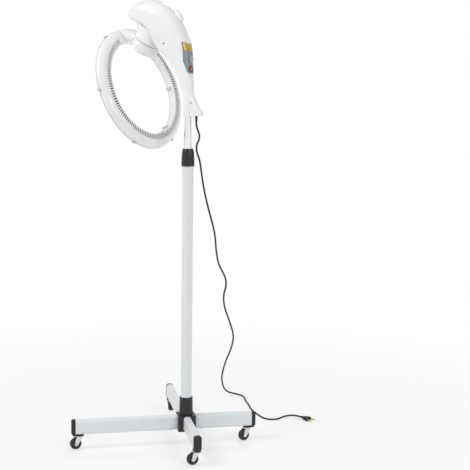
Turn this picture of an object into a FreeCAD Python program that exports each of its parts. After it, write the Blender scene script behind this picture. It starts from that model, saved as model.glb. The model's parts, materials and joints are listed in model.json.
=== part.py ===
"""Ring-type hair color processor on a rolling stand.

Millimetres. Z is up, the floor is z = 0 and the pole's axis is the Z axis. The head's nose
points to -Y, so +Y is the operator's side. The machine is symmetric about the YZ plane.
Each sub-part is written to parts/NODE.step.
"""
import FreeCAD, Part
import math
import os
from FreeCAD import Matrix, Placement, Rotation, Vector

# --- driving dimensions ------------------------------------------------------------------

# fits
SLIP_GAP = 0.2            # between moulded pieces that plug together
RUN_GAP = 0.06            # radial, running fits
FACE_GAP = 0.3            # between faces that turn or slide past each other

# casters
WHEEL_RADIUS = 20.0
WHEEL_WIDTH = 16.0
CASTER_TRAIL = 14.0       # axle behind the swivel axis
CASTER_INSET = 28.0       # swivel axis in from the leg's end
AXLE_RADIUS = 2.5
STEM_RADIUS = 5.0
STEM_LENGTH = 18.0
FORK_THICKNESS = 2.0
FORK_PLATE_RADIUS = 15.0
FORK_HEADROOM = 3.6       # wheel to fork plate
FORK_PLATE = 3.1
CASTER_ANGLES = {"front_right": 330.0, "front_left": 205.0, "rear_right": 326.0, "rear_left": 336.0}

# legs
LEG_LONG = 397.0          # pole axis to the end of the cap
LEG_SHORT = 247.0
LEG_WIDTH = 26.0
LEG_HEIGHT = 52.0
LEG_CORNER = 10.0
LEG_WALL = 1.5
CAP_LENGTH = 14.0
CAP_PLUG = 26.0
CAP_LIP = 0.4             # how far the cap stands proud of the leg
CAP_FILLET = 5.0
TONGUE_THICKNESS = 4.0
TONGUE_LENGTH = 28.0
LEG_ANGLES = {"front_right": -45.0, "front_left": -135.0, "rear_right": 45.0, "rear_left": 135.0}

# hub
HUB_SIDE = 62.0
HUB_CORNER = 5.0
HUB_OVERHANG = 1.5        # hub block above and below the legs
SPIGOT_LENGTH = 45.0
LEG_BOLT_RADIUS = 3.0
LEG_BOLT_INSET = 22.0
LEG_BOLT_LENGTH = 26.0
FOOT_BOLT_RADIUS = 5.0
FOOT_BOLT_LENGTH = 26.0
COLLAR_HEIGHT = 62.5
COLLAR_WALL = 3.6
COLLAR_FLARE = 0.9

# pole
TUBE_RADIUS = 19.0
TUBE_WALL = 1.6
TUBE_FLOOR = 12.0         # hub floor under the tube
TUBE_TOP = 1004.0
BUSH_LENGTH = 32.0
BUSH_FLANGE = 3.0
MAST_RADIUS = 14.0
MAST_WALL = 1.4
MAST_SHOWN = 129.0        # mast between the lower tube's bush and the stem
MAST_INSERT = 440.0       # mast inside the lower tube
MAST_IN_STEM = 85.0
STOP_LENGTH = 30.0

# twist clamp
CLAMP_SKIRT = 34.0        # below the lower tube's top
CLAMP_NOSE = 22.0         # above the bush flange
CLAMP_WALL = 3.0
CLAMP_TAPER = 4.0
CLAMP_FLUTES = 20
FLUTE_RADIUS = 1.3

# head housing: wall and the pieces on it
HOUSING_WALL = 2.1
HOUSING_SPLIT = 0.3
STEM_WALL = 4.0           # outside of the stem over the mast's radius
BUSH_WALL = 1.7
PANEL_TOP = 240.0         # heights above the stem's bottom
PANEL_RISE = 8.0          # corners of the panel's top edge above its middle
PANEL_MIDDLE = 182.0
PANEL_BOTTOM = 143.0
PANEL_HALF_TOP = 28.0
PANEL_HALF_MIDDLE = 27.0
PANEL_HALF_BOTTOM = 18.5
PANEL_INSET = 0.8
LENS_HEIGHT = 26.5
LENS_MARGIN = 2.5
TIMER_HEIGHT = 190.0      # knob's axis above the stem's bottom
KNOB_RADIUS = 11.0
KNOB_THICKNESS = 3.8
KNOB_SHAFT = 3.0
TIMER_COLLAR = 4.5
SWITCH_HEIGHT = 157.5
SWITCH_RADIUS = 10.0
ROCKER_RADIUS = 7.4
ROCKER_TILT = 7.0
SCREW_RADIUS = 1.6
SCREW_HEAD = 3.4
BOSS_RADIUS = 4.5
SPINE_CAP = (13.0, 25.0, 11.0)  # half width, half length, half height
TERMINAL_PLACE = (-55.0, 249.0)
TERMINAL_HALF = 14.0

# knuckle: the axis that the ring orbits on
KNUCKLE_Y = -171.0
KNUCKLE_HEIGHT = 250.5    # centre of the joint face above the stem's bottom
KNUCKLE_DIP = 57.0        # axis below the horizontal, degrees
NECK_RADIUS = 47.5
NECK_WALL = 3.0
# neck sections: height, radius less than the neck's, flare towards the nose
NECK_SECTIONS = [(0, 0.0, 0.0), (10, 0.7, 2.2), (20, 2.6, 6.9), (30, 4.4, 13.2), (40, 5.6, 22.0),
                 (48, 6.0, 31.0)]
BOWL_DEPTH = 46.0
SHAFT_RADIUS = 8.0
SHAFT_BORE = 5.0
WEB_BASE = 22.0
WEB_THICKNESS = 5.0
GEAR_MODULE = 1.0
DRIVE_TEETH = 40
PINION_TEETH = 12
GEAR_BASE = 6.0
GEAR_WIDTH = 7.0
MOTOR_RADIUS = 11.5
MOTOR_LENGTH = 28.0

# ring
RING_TOP_Y = -278.22      # top of the ring's rim on the bracket
RING_TOP_HEIGHT = 286.81  # above the stem's bottom
RING_TILT = 19.2          # ring axis above the horizontal, degrees
RING_OUTER = 212.0
RING_INNER = 164.0
RING_DEPTH = 24.4
RING_WALL = 2.3
SADDLE_HALF_ANGLE = 16.0
SADDLE_PROUD = 1.4
SLOT_START = 24.0         # degrees from the top of the ring
SLOT_PITCH = 2.811
SLOT_WIDTH = 4.0
SLOT_LENGTH = 16.0
GRILLE_INNER = 166.5
GRILLE_OUTER = 186.0
GRILLE_THICKNESS = 2.0
REFLECTOR_SHEET = 1.2
HEATER_RADIUS = 187.0
HEATER_TUBE = 5.0
HEATER_HEIGHT = 4.0
GUARD_WIRE = 1.2
GUARD_DROP = 6.0
GUARD_SPOKES = 18
CLIP_ANGLES = [30.0, 90.0, 150.0, 210.0, 270.0, 330.0]
CLIP_WIDTH = 9.0

# mains cord
CORD_RADIUS = 3.25
CORD_EXIT_Y = 33.0
RELIEF_DROP = 14.0        # strain relief below the stem's bottom
RELIEF_RADIUS = 4.9
GLAND_RADIUS = 5.6
PLUG_LENGTH = 38.0
PLUG_WIDTH = 25.0
PLUG_HEIGHT = 15.6
PLUG_PIN_LENGTH = 19.0
PLUG_PIN_RADIUS = 2.4
PLUG_PIN_SPACING = 19.0

# --- derived places ----------------------------------------------------------------------

FORK_TOP = 2 * WHEEL_RADIUS + FORK_HEADROOM + FORK_PLATE
LEG_BOTTOM = FORK_TOP + FACE_GAP + TONGUE_THICKNESS
HUB_BOTTOM = LEG_BOTTOM - HUB_OVERHANG
HUB_TOP = LEG_BOTTOM + LEG_HEIGHT + HUB_OVERHANG
TUBE_BASE = HUB_BOTTOM + TUBE_FLOOR
BUSH_TOP = TUBE_TOP + BUSH_FLANGE
STEM_BOTTOM = BUSH_TOP + MAST_SHOWN
MAST_TOP = STEM_BOTTOM + MAST_IN_STEM
MAST_BASE = TUBE_TOP - MAST_INSERT
STEM_RADIUS_OUT = MAST_RADIUS + STEM_WALL
TUBE_BORE = TUBE_RADIUS - TUBE_WALL
PINION_OFFSET = GEAR_MODULE * (DRIVE_TEETH + PINION_TEETH) / 2 + 0.1


# --- helpers -----------------------------------------------------------------------------

def cylinder(radius, low, high, x=0.0, y=0.0):
    """Vertical cylinder between two heights."""
    return Part.makeCylinder(radius, high - low, Vector(x, y, low))


def tube(outer, inner, low, high, x=0.0, y=0.0):
    """Vertical tube between two heights."""
    return cylinder(outer, low, high, x, y).cut(cylinder(inner, low - 1, high + 1, x, y))


def block(x_low, x_high, y_low, y_high, z_low, z_high):
    """Box between two corners."""
    size = (x_high - x_low, y_high - y_low, z_high - z_low)
    return Part.makeBox(*size, Vector(x_low, y_low, z_low))


def turned(shape, degrees):
    """A copy turned about the Z axis."""
    copy = shape.copy()
    copy.rotate(Vector(0, 0, 0), Vector(0, 0, 1), degrees)
    return copy


def moved(shape, x=0.0, y=0.0, z=0.0):
    """A copy moved by an offset."""
    copy = shape.copy()
    copy.translate(Vector(x, y, z))
    return copy


def lathe(profile):
    """Solid of revolution about Z from (radius, height) corners."""
    points = [Vector(r, 0, z) for r, z in profile]
    face = Part.Face(Part.makePolygon(points + points[:1]))
    return face.revolve(Vector(0, 0, 0), Vector(0, 0, 1), 360)


def wedge(half_angle, radius, low, high):
    """Sector prism about the local +Y direction, for cutting rings."""
    reach = radius / math.cos(math.radians(half_angle))
    side = reach * math.sin(math.radians(half_angle))
    points = [Vector(0, 0, low), Vector(-side, radius, low), Vector(side, radius, low)]
    face = Part.Face(Part.makePolygon(points + points[:1]))
    return face.extrude(Vector(0, 0, high - low))


def rounded_section(width, height, corner, x, z_centre):
    """Rounded rectangle wire in the plane of constant x."""
    a, b = width / 2 - corner, height / 2 - corner
    edges = []
    corners = [(a, b, 0), (-a, b, 90), (-a, -b, 180), (a, -b, 270)]
    ends = []
    for cy, cz, start in corners:
        def at(angle, cy=cy, cz=cz):
            t = math.radians(angle)
            return Vector(x, cy + corner * math.cos(t), z_centre + cz + corner * math.sin(t))
        ends.append((at(start), at(start + 45), at(start + 90)))
    for i, (first, middle, last) in enumerate(ends):
        edges.append(Part.Arc(first, middle, last).toShape())
        edges.append(Part.LineSegment(last, ends[(i + 1) % 4][0]).toShape())
    return Part.Wire(Part.__sortEdges__(edges))


def bar(width, height, corner, x_low, x_high, z_centre):
    """Rounded bar along X."""
    face = Part.Face(rounded_section(width, height, corner, x_low, z_centre))
    return face.extrude(Vector(x_high - x_low, 0, 0))


def group(shapes):
    """Several separate solids in one node."""
    return Part.makeCompound([solid for shape in shapes for solid in shape.Solids])


def save(name, shape):
    """Write one sub-part."""
    shape.exportStep("parts/" + name + ".step")
    print(f"{name:24s} {len(shape.Solids)} solid(s)  {shape.Volume / 1000:9.2f} cm3")


# --- base --------------------------------------------------------------------------------

def leg_length(name):
    """Pole axis to the cap's end."""
    return LEG_LONG if name.startswith("front") else LEG_SHORT


def leg(name):
    """Flat-oval steel tube between the hub's face and its end cap."""
    centre = LEG_BOTTOM + LEG_HEIGHT / 2
    end = leg_length(name) - CAP_LENGTH
    outer = bar(LEG_WIDTH, LEG_HEIGHT, LEG_CORNER, HUB_SIDE / 2, end, centre)
    inner = bar(LEG_WIDTH - 2 * LEG_WALL, LEG_HEIGHT - 2 * LEG_WALL, LEG_CORNER - LEG_WALL,
                HUB_SIDE / 2 - 1, end + 1, centre)
    shape = outer.cut(inner)
    wall_top = LEG_BOTTOM + 3 * LEG_WALL
    bolt = cylinder(LEG_BOLT_RADIUS + SLIP_GAP, LEG_BOTTOM - 1, wall_top,
                    HUB_SIDE / 2 + LEG_BOLT_INSET)
    stem = cylinder(STEM_RADIUS + 1, LEG_BOTTOM - 1, wall_top, leg_length(name) - CASTER_INSET)
    return turned(shape.cut(bolt).cut(stem), LEG_ANGLES[name])


def leg_cap(name):
    """Moulded cap: end cover, plug inside the leg, and the tongue that the caster turns in."""
    end = leg_length(name)
    centre = LEG_BOTTOM + LEG_HEIGHT / 2
    slack = 2 * (LEG_WALL + SLIP_GAP)
    cover = bar(LEG_WIDTH + 2 * CAP_LIP, LEG_HEIGHT + 2 * CAP_LIP, LEG_CORNER,
                end - CAP_LENGTH, end, centre)
    cover = cover.makeFillet(CAP_FILLET, outer_edges(cover, end))
    plug = bar(LEG_WIDTH - slack, LEG_HEIGHT - slack, LEG_CORNER - LEG_WALL,
               end - CAP_LENGTH - CAP_PLUG, end - CAP_LENGTH, centre)
    tongue = block(end - CAP_LENGTH - TONGUE_LENGTH, end - CAP_LENGTH + 4,
                   -LEG_WIDTH / 2 + 2, LEG_WIDTH / 2 - 2,
                   LEG_BOTTOM - TONGUE_THICKNESS, LEG_BOTTOM - SLIP_GAP / 2)
    foot = block(end - CAP_LENGTH, end - CAP_FILLET, -LEG_WIDTH / 2 + 2, LEG_WIDTH / 2 - 2,
                 LEG_BOTTOM - TONGUE_THICKNESS, centre)
    shape = cover.fuse(plug).fuse(tongue).fuse(foot)
    neck = cylinder(STEM_RADIUS, LEG_BOTTOM - 2, LEG_BOTTOM + 3 * LEG_WALL, end - CASTER_INSET)
    socket = cylinder(STEM_RADIUS - 1 + RUN_GAP, 0, FORK_TOP + STEM_LENGTH + 1,
                      end - CASTER_INSET)
    return turned(shape.fuse(neck).cut(socket).removeSplitter(), LEG_ANGLES[name])


def outer_edges(shape, x):
    """Edges that lie in the plane of constant x."""
    return [e for e in shape.Edges if all(abs(v.Point.x - x) < 1e-6 for v in e.Vertexes)]


def hub_block():
    """Moulded cross hub: block, four spigots, the pole's bore and its bolt's recess."""
    half = HUB_SIDE / 2
    centre = (HUB_BOTTOM + HUB_TOP) / 2
    core = block(-half, half, -half, half, HUB_BOTTOM, HUB_TOP)
    upright = [e for e in core.Edges if abs(e.Vertexes[0].Z - e.Vertexes[-1].Z) > 1]
    core = core.makeFillet(HUB_CORNER, upright)
    rim = [e for e in core.Edges if all(abs(v.Z - HUB_TOP) < 1e-6 for v in e.Vertexes)]
    core = core.makeChamfer(1.0, rim)
    slack = 2 * (LEG_WALL + SLIP_GAP)
    for angle in range(0, 360, 90):
        spigot = bar(LEG_WIDTH - slack, LEG_HEIGHT - slack, LEG_CORNER - LEG_WALL,
                     half - 2, half + SPIGOT_LENGTH, centre)
        hole = cylinder(LEG_BOLT_RADIUS + RUN_GAP, HUB_BOTTOM - 1,
                        LEG_BOTTOM + LEG_BOLT_LENGTH + 1, half + LEG_BOLT_INSET)
        core = core.fuse(turned(spigot.cut(hole), angle))
    core = core.cut(cylinder(TUBE_RADIUS + SLIP_GAP / 2, TUBE_BASE, HUB_TOP + 1))
    core = core.cut(cylinder(FOOT_BOLT_RADIUS + SLIP_GAP, HUB_BOTTOM - 1, TUBE_BASE + 1))
    core = core.cut(cylinder(2 * FOOT_BOLT_RADIUS, HUB_BOTTOM - 1, HUB_BOTTOM + TUBE_FLOOR / 2))
    return turned(core.removeSplitter(), 45)


def hub_bolts():
    """One bolt up through each leg's floor into its spigot, and the foot bolt."""
    bolts = []
    for name in LEG_ANGLES:
        x = HUB_SIDE / 2 + LEG_BOLT_INSET
        head = cylinder(1.7 * LEG_BOLT_RADIUS, LEG_BOTTOM - 3, LEG_BOTTOM, x)
        shank = cylinder(LEG_BOLT_RADIUS, LEG_BOTTOM - 1, LEG_BOTTOM + LEG_BOLT_LENGTH, x)
        socket = cylinder(0.9 * LEG_BOLT_RADIUS, LEG_BOTTOM - 4, LEG_BOTTOM - 1.2, x)
        bolts.append(turned(head.fuse(shank).cut(socket), LEG_ANGLES[name]))
    return group(bolts + [foot_bolt()])


def foot_bolt():
    """Bolt that pulls the lower tube down onto the hub's floor."""
    seat = HUB_BOTTOM + TUBE_FLOOR / 2
    head = cylinder(1.8 * FOOT_BOLT_RADIUS, seat - 5, seat)
    shank = cylinder(FOOT_BOLT_RADIUS, seat - 1, seat + FOOT_BOLT_LENGTH)
    socket = cylinder(0.9 * FOOT_BOLT_RADIUS, seat - 6, seat - 2)
    return head.fuse(shank).cut(socket)


def tube_foot_plug():
    """Threaded plug in the lower tube's bottom end."""
    top = TUBE_BASE + 24
    return tube(TUBE_BORE - SLIP_GAP / 2, FOOT_BOLT_RADIUS + RUN_GAP, TUBE_BASE, top)


def pole_collar():
    """Tapered collar round the tube, on the hub's top."""
    bore = TUBE_RADIUS + SLIP_GAP / 2
    outer = bore + COLLAR_WALL
    top = HUB_TOP + COLLAR_HEIGHT
    return lathe([(bore, HUB_TOP), (outer + COLLAR_FLARE, HUB_TOP),
                  (outer + COLLAR_FLARE, HUB_TOP + 3), (outer, top - 1.2), (outer - 1.2, top),
                  (bore, top)])


def caster_x(name):
    """Distance of a caster's swivel axis from the pole."""
    return leg_length(name) - CASTER_INSET


def place_caster(shape, name):
    """From the caster's own frame (swivel axis on Z, axle towards +X) to its leg."""
    out = turned(shape, CASTER_ANGLES[name])
    t = math.radians(LEG_ANGLES[name])
    return moved(out, caster_x(name) * math.cos(t), caster_x(name) * math.sin(t))


def caster_fork(name):
    """Pressed steel fork with its swivel stem."""
    plate_low = WHEEL_RADIUS * 2 + FORK_HEADROOM
    inner = WHEEL_WIDTH / 2 + 1.0
    outer = inner + FORK_THICKNESS
    shape = cylinder(FORK_PLATE_RADIUS, plate_low, FORK_TOP)
    for side in (-1, 1):
        y_low, y_high = sorted((side * inner, side * outer))
        points = [(-9.0, plate_low + 0.6), (10.0, plate_low + 0.6), (16.0, plate_low - 5.0),
                  (CASTER_TRAIL + 7.0, WHEEL_RADIUS - 2.0), (CASTER_TRAIL + 3.0, WHEEL_RADIUS - 6.5),
                  (CASTER_TRAIL - 3.0, WHEEL_RADIUS - 6.5), (CASTER_TRAIL - 7.0, WHEEL_RADIUS - 2.0)]
        corners = [Vector(x, y_low, z) for x, z in points]
        cheek = Part.Face(Part.makePolygon(corners + corners[:1]))
        cheek = cheek.extrude(Vector(0, y_high - y_low, 0))
        shape = shape.fuse(cheek)
    bridge = block(-9.0, 12.0, -outer, outer, plate_low, plate_low + FORK_THICKNESS)
    shape = shape.fuse(bridge)
    shape = shape.fuse(cylinder(STEM_RADIUS - 1, plate_low, FORK_TOP + STEM_LENGTH))
    bore = Part.makeCylinder(AXLE_RADIUS + RUN_GAP, 60, Vector(CASTER_TRAIL, -30, WHEEL_RADIUS),
                             Vector(0, 1, 0))
    return place_caster(shape.cut(bore).removeSplitter(), name)


def caster_wheel(name):
    """Moulded wheel with a crowned tread and dished sides."""
    half = WHEEL_WIDTH / 2
    r = WHEEL_RADIUS
    bore = AXLE_RADIUS + RUN_GAP
    shape = lathe([(bore, -half - 0.6), (5.5, -half - 0.6), (5.5, -half + 2.5), (r - 6, -half + 2.5),
                   (r - 5, -half), (r - 2.5, -half), (r - 0.6, -half + 2.2), (r, 0),
                   (r - 0.6, half - 2.2), (r - 2.5, half), (r - 5, half), (r - 6, half - 2.5),
                   (5.5, half - 2.5), (5.5, half + 0.6), (bore, half + 0.6)])
    shape.rotate(Vector(0, 0, 0), Vector(1, 0, 0), 90)
    return place_caster(moved(shape, CASTER_TRAIL, 0, WHEEL_RADIUS), name)


def caster_axle(name):
    """Riveted axle across the fork."""
    reach = WHEEL_WIDTH / 2 + 1.0 + FORK_THICKNESS
    pin = Part.makeCylinder(AXLE_RADIUS, 2 * reach + 1.2, Vector(0, -reach - 0.6, 0),
                            Vector(0, 1, 0))
    for side in (-1, 1):
        head = Part.makeCylinder(AXLE_RADIUS + 1.6, 1.6, Vector(0, side * (reach + 0.1), 0),
                                 Vector(0, side, 0))
        pin = pin.fuse(head)
    return place_caster(moved(pin, CASTER_TRAIL, 0, WHEEL_RADIUS), name)


# --- pole --------------------------------------------------------------------------------

def lower_tube():
    """Outer pole tube."""
    return tube(TUBE_RADIUS, TUBE_BORE, TUBE_BASE, TUBE_TOP)


def guide_bush():
    """Flanged bush in the lower tube's top; the mast slides and the clamp bears on it."""
    bore = MAST_RADIUS + RUN_GAP
    body = TUBE_BORE - SLIP_GAP / 2
    low = TUBE_TOP - BUSH_LENGTH
    return lathe([(bore, low), (body, low), (body, TUBE_TOP), (TUBE_RADIUS, TUBE_TOP),
                  (TUBE_RADIUS, BUSH_TOP), (bore, BUSH_TOP)])


def clamp_sleeve():
    """Fluted twist-lock sleeve over the joint of the two tubes."""
    bore = TUBE_RADIUS + FACE_GAP
    neck = MAST_RADIUS + 2 * FACE_GAP
    foot = bore + CLAMP_WALL
    low = TUBE_TOP - CLAMP_SKIRT
    step = BUSH_TOP + FACE_GAP
    top = BUSH_TOP + CLAMP_NOSE
    bead = low + 0.42 * (top - low)
    tip = foot - CLAMP_TAPER
    shape = lathe([(bore, low), (foot - 0.8, low), (foot, low + 1), (foot - 0.4, bead - 3),
                   (foot + 0.6, bead - 1.6), (foot + 0.6, bead + 1.6), (foot - 1.0, bead + 3),
                   (foot - 1.8, top - 12), (tip, top - 3), (tip - 1.5, top), (neck, top),
                   (neck, step), (bore, step)])
    for i in range(CLAMP_FLUTES):
        t = 2 * math.pi * i / CLAMP_FLUTES
        x, y = (foot + 0.4) * math.cos(t), (foot + 0.4) * math.sin(t)
        shape = shape.cut(cylinder(FLUTE_RADIUS, low + 2.5, bead - 3.5, x, y))
        x, y = (foot - 0.6) * math.cos(t), (foot - 0.6) * math.sin(t)
        shape = shape.cut(cylinder(FLUTE_RADIUS, bead + 4, top - 9, x, y))
    return shape


def mast_tube():
    """Inner pole tube, which slides for height."""
    return tube(MAST_RADIUS, MAST_RADIUS - MAST_WALL, MAST_BASE, MAST_TOP)


def mast_stop():
    """Bush on the mast's lower end: it guides in the lower tube and stops under the bush."""
    plug = MAST_RADIUS - MAST_WALL - SLIP_GAP / 2
    wide = TUBE_BORE - RUN_GAP
    return lathe([(0, MAST_BASE - 8), (wide, MAST_BASE - 8), (wide, MAST_BASE), (plug, MAST_BASE),
                  (plug, MAST_BASE + STOP_LENGTH), (0, MAST_BASE + STOP_LENGTH)])


def thrust_plug():
    """Plug in the mast's upper end; the head turns on its flat top."""
    plug = MAST_RADIUS - MAST_WALL - SLIP_GAP / 2
    return lathe([(0, MAST_TOP - STOP_LENGTH), (plug, MAST_TOP - STOP_LENGTH), (plug, MAST_TOP),
                  (MAST_RADIUS - 0.5, MAST_TOP), (MAST_RADIUS - 0.5, MAST_TOP + 2.5),
                  (0, MAST_TOP + 2.5)])


# --- head housing ------------------------------------------------------------------------

def housing_sections():
    """Sections from the stem to the nose: rear (or top) point, front (or lower) point, half
    width and superellipse exponent. The points are (y, height above the stem's bottom)."""
    r = STEM_RADIUS_OUT
    stem = [((r, height), (-r, height), r, 2.0) for height in range(0, 75, 24)]
    return stem + [
        ((r - 0.5, 96), (-r - 9, 96), r + 2.5, 2.3),
        ((14.0, 122), (-36.0, 122), 24.0, 2.6),
        ((10.5, 148), (-47.0, 147), 27.5, 2.9),
        ((9.0, 178), (-67.0, 175), 30.5, 3.0),
        ((7.5, 204), (-89.0, 197), 33.5, 3.0),
        ((3.0, 230), (-110.0, 214), 37.5, 2.9),
        ((-9.0, 268), (-131.0, 239), 42.5, 2.7),
        ((-31.0, 311), (-151.0, 263), 47.0, 2.5),
        ((-66.0, 352), (-174.0, 283), 50.0, 2.4),
        ((-108.0, 378), (-196.0, 299), 51.0, 2.3),
        ((-153.0, 388), (-216.0, 313), 48.5, 2.3),
        ((-191.0, 381), (-229.0, 318), 42.0, 2.2),
        ((-217.0, 368), (-238.0, 321), 32.5, 2.2),
        ((-235.0, 353), (-243.0, 328), 20.0, 2.1),
        ((-243.5, 344), (-244.5, 337), 7.0, 2.0),
    ]


def tail_sections():
    """Sections of the cord's spout behind the stem, from its lip up into the stem."""
    return [
        ((59.0, 5), (4.0, 0), 13.5, 2.4),
        ((54.0, 18), (3.0, 14), 13.5, 2.4),
        ((40.0, 38), (1.0, 38), 12.5, 2.3),
        ((27.0, 62), (-1.0, 62), 11.5, 2.2),
        ((16.0, 90), (-3.0, 90), 9.5, 2.0),
    ]


def in_between(sections):
    """The sections with one more between each two, on a smooth curve through all of them."""
    rows = [[*rear, *front, wide, power] for rear, front, wide, power in sections]
    steps = []
    for a, b in zip(rows, rows[1:]):
        steps.append(math.sqrt(math.dist(a[0:2], b[0:2]) + math.dist(a[2:4], b[2:4])))
    rates = [[(y - x) / step for x, y in zip(a, b)] for a, b, step in zip(rows, rows[1:], steps)]
    slopes = [rates[0]]
    for k in range(1, len(rates)):
        h, g = steps[k - 1], steps[k]
        slopes.append([(p * g + q * h) / (h + g) for p, q in zip(rates[k - 1], rates[k])])
    slopes.append(rates[-1])
    result = []
    for k, step in enumerate(steps):
        ends = zip(rows[k], rows[k + 1], slopes[k], slopes[k + 1])
        result += [rows[k], [(a + b) / 2 + step * (p - q) / 8 for a, b, p, q in ends]]
    return [(r[0:2], r[2:4], r[4], r[5]) for r in result + rows[-1:]]


def half_row(section, inset, drop):
    """Points of one half section from its rear to its front, moved inwards by the inset."""
    rear, front, half_width, power = section
    rear = Vector(0, rear[0], STEM_BOTTOM + rear[1] - drop)
    front = Vector(0, front[0], STEM_BOTTOM + front[1] - drop)
    along = rear - front
    half = along.Length / 2 - inset
    along.normalize()
    points = []
    for k in range(13):
        t = math.pi * (0.5 - k / 12)
        c = math.cos(t) if 0 < k < 12 else 0.0
        s = math.sin(t)
        x = (half_width - inset) * c ** (2 / power)
        d = half * math.copysign(abs(s) ** (2 / power), s)
        points.append((rear + front) / 2 + along * d + Vector(x, 0, 0))
    return points


def half_loft(sections, inset=0.0, overrun=0.0, skip=0):
    """Solid on the +X side of the plane of symmetry, its skin passing through the sections."""
    sections = in_between(sections)
    sections = sections[:len(sections) - skip]
    rows = [half_row(section, inset, 0.0) for section in sections]
    rows[0] = half_row(sections[0], inset, overrun)
    surface = Part.BSplineSurface()
    surface.interpolate(rows)
    skin = surface.toShape()
    rims = [e for e in skin.Edges if e.BoundBox.XMax < 1e-3]
    lines, faces = [], [skin]
    for edge in skin.Edges:
        if edge.BoundBox.XMax >= 1e-3:
            line = Part.LineSegment(edge.Vertexes[0].Point, edge.Vertexes[-1].Point).toShape()
            lines.append(line)
            faces.append(Part.Face(Part.Wire([edge, line])))
    faces.append(Part.Face(Part.Wire(Part.__sortEdges__(rims + lines))))
    shell = Part.Shell(faces)
    shell.sewShape()
    solid = Part.Solid(shell)
    if solid.Volume < 0:
        solid.reverse()
    return solid


def mirrored(shape):
    """A copy on the other side of the plane of symmetry."""
    return shape.mirror(Vector(0, 0, 0), Vector(1, 0, 0))


def knuckle_place():
    """Placement whose Z axis runs from the joint face up into the housing."""
    dip = math.radians(KNUCKLE_DIP)
    up = Vector(0, math.cos(dip), math.sin(dip))
    origin = Vector(0, KNUCKLE_Y, STEM_BOTTOM + KNUCKLE_HEIGHT)
    return Placement(origin, Rotation(Vector(0, 0, 1), up))


def on_knuckle(shape):
    """A copy carried from the knuckle's own frame to the machine."""
    copy = shape.copy()
    copy.Placement = knuckle_place().multiply(copy.Placement)
    return copy


def neck_body(grow, below=0.0, above=0.0):
    """Solid neck, round at the joint face and flared towards the nose, grown by a gap."""
    wires = []
    for height, less, flare in NECK_SECTIONS:
        points = []
        for i in range(24):
            t = 2 * math.pi * i / 24
            r = NECK_RADIUS - less + grow + flare * ((1 - math.sin(t)) / 2) ** 3
            points.append(Vector(r * math.cos(t), r * math.sin(t), height))
        curve = Part.BSplineCurve()
        curve.interpolate(Points=points, PeriodicFlag=True)
        wires.append(Part.Wire(curve.toShape()))
    body = Part.makeLoft(wires, True, False)
    top = max(body.Faces, key=lambda f: f.CenterOfMass.z)
    for depth, face in ((above, top), (-below, min(body.Faces, key=lambda f: f.CenterOfMass.z))):
        if depth:
            body = body.fuse(face.extrude(Vector(0, 0, depth)))
    return body


def panel_outline(margin, top, bottom):
    """Tapered window through the back of the housing between two heights above the stem."""
    def half_at(height):
        if height > PANEL_MIDDLE:
            share = (height - PANEL_MIDDLE) / (PANEL_TOP - PANEL_MIDDLE)
            return PANEL_HALF_MIDDLE + share * (PANEL_HALF_TOP - PANEL_HALF_MIDDLE) + margin
        share = (height - PANEL_BOTTOM) / (PANEL_MIDDLE - PANEL_BOTTOM)
        return PANEL_HALF_BOTTOM + share * (PANEL_HALF_MIDDLE - PANEL_HALF_BOTTOM) + margin
    high, low = STEM_BOTTOM + top + margin, STEM_BOTTOM + bottom - margin
    wide, slim = half_at(top), half_at(bottom)
    peak = high + PANEL_RISE
    right = [(wide - 4, peak - 1), (wide, peak - 5), (slim, low + 6), (slim - 5, low)]
    if bottom < PANEL_MIDDLE:
        right.insert(2, (half_at(PANEL_MIDDLE), STEM_BOTTOM + PANEL_MIDDLE))
    points = [(0, high), *right, *[(-x, z) for x, z in reversed(right)]]
    corners = [Vector(x, -25, z) for x, z in points]
    return Part.Face(Part.makePolygon(corners + corners[:1])).extrude(Vector(0, 53, 0))


def screw_places():
    """Housing screws: (side of the head, y, height above the stem's bottom)."""
    return [(1, -75.0, 241.0), (1, 19.5, 46.0), (-1, -105.0, 352.0), (-1, -30.0, 270.0)]


def housing_shell(side):
    """One housing shell, modelled on the +X side and mirrored for the other."""
    outer = half_loft(housing_sections()).fuse(half_loft(tail_sections()))
    hollow = half_loft(housing_sections(), HOUSING_WALL, 4, 2)
    hollow = hollow.fuse(half_loft(tail_sections(), HOUSING_WALL, 4))
    floor = block(0, 40, -STEM_RADIUS_OUT, 70, STEM_BOTTOM + 6, STEM_BOTTOM + 9)
    floor = floor.cut(cylinder(GLAND_RADIUS + SLIP_GAP / 2, 0, 2000, 0, CORD_EXIT_Y))
    shell = outer.cut(hollow).fuse(floor.common(outer))
    for _, y, height in screw_places():
        shell = shell.fuse(screw_post(y, height).common(outer))
    if side < 0:
        y, height = TERMINAL_PLACE
        seat = along_x(BOSS_RADIUS, TERMINAL_HALF, 60, y, STEM_BOTTOM + height)
        shell = shell.fuse(seat.common(outer))
    for head_side, y, height in screw_places():
        shell = shell.cut(screw_hole(y, height, side == head_side))
    shell = shell.cut(on_knuckle(neck_body(SLIP_GAP, 90, SLIP_GAP)))
    shell = shell.cut(panel_outline(SLIP_GAP, PANEL_TOP, PANEL_BOTTOM))
    shell = shell.cut(cylinder(MAST_RADIUS + BUSH_WALL + SLIP_GAP, 0, MAST_TOP + 7))
    shell = shell.common(block(HOUSING_SPLIT / 2, 90, -300, 100, 0, 2000)).removeSplitter()
    return shell if side > 0 else mirrored(shell)


def along_x(radius, x_low, x_high, y, z):
    """Cylinder along X between two x places."""
    return Part.makeCylinder(radius, x_high - x_low, Vector(x_low, y, z), Vector(1, 0, 0))


def screw_post(y, height):
    """Boss from the split plane out to the skin."""
    return along_x(BOSS_RADIUS, 0, 60, y, STEM_BOTTOM + height)


def screw_depth(height):
    """How far from the split plane the screw's head sits."""
    return 8.0 if height < 100 else 22.0


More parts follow.
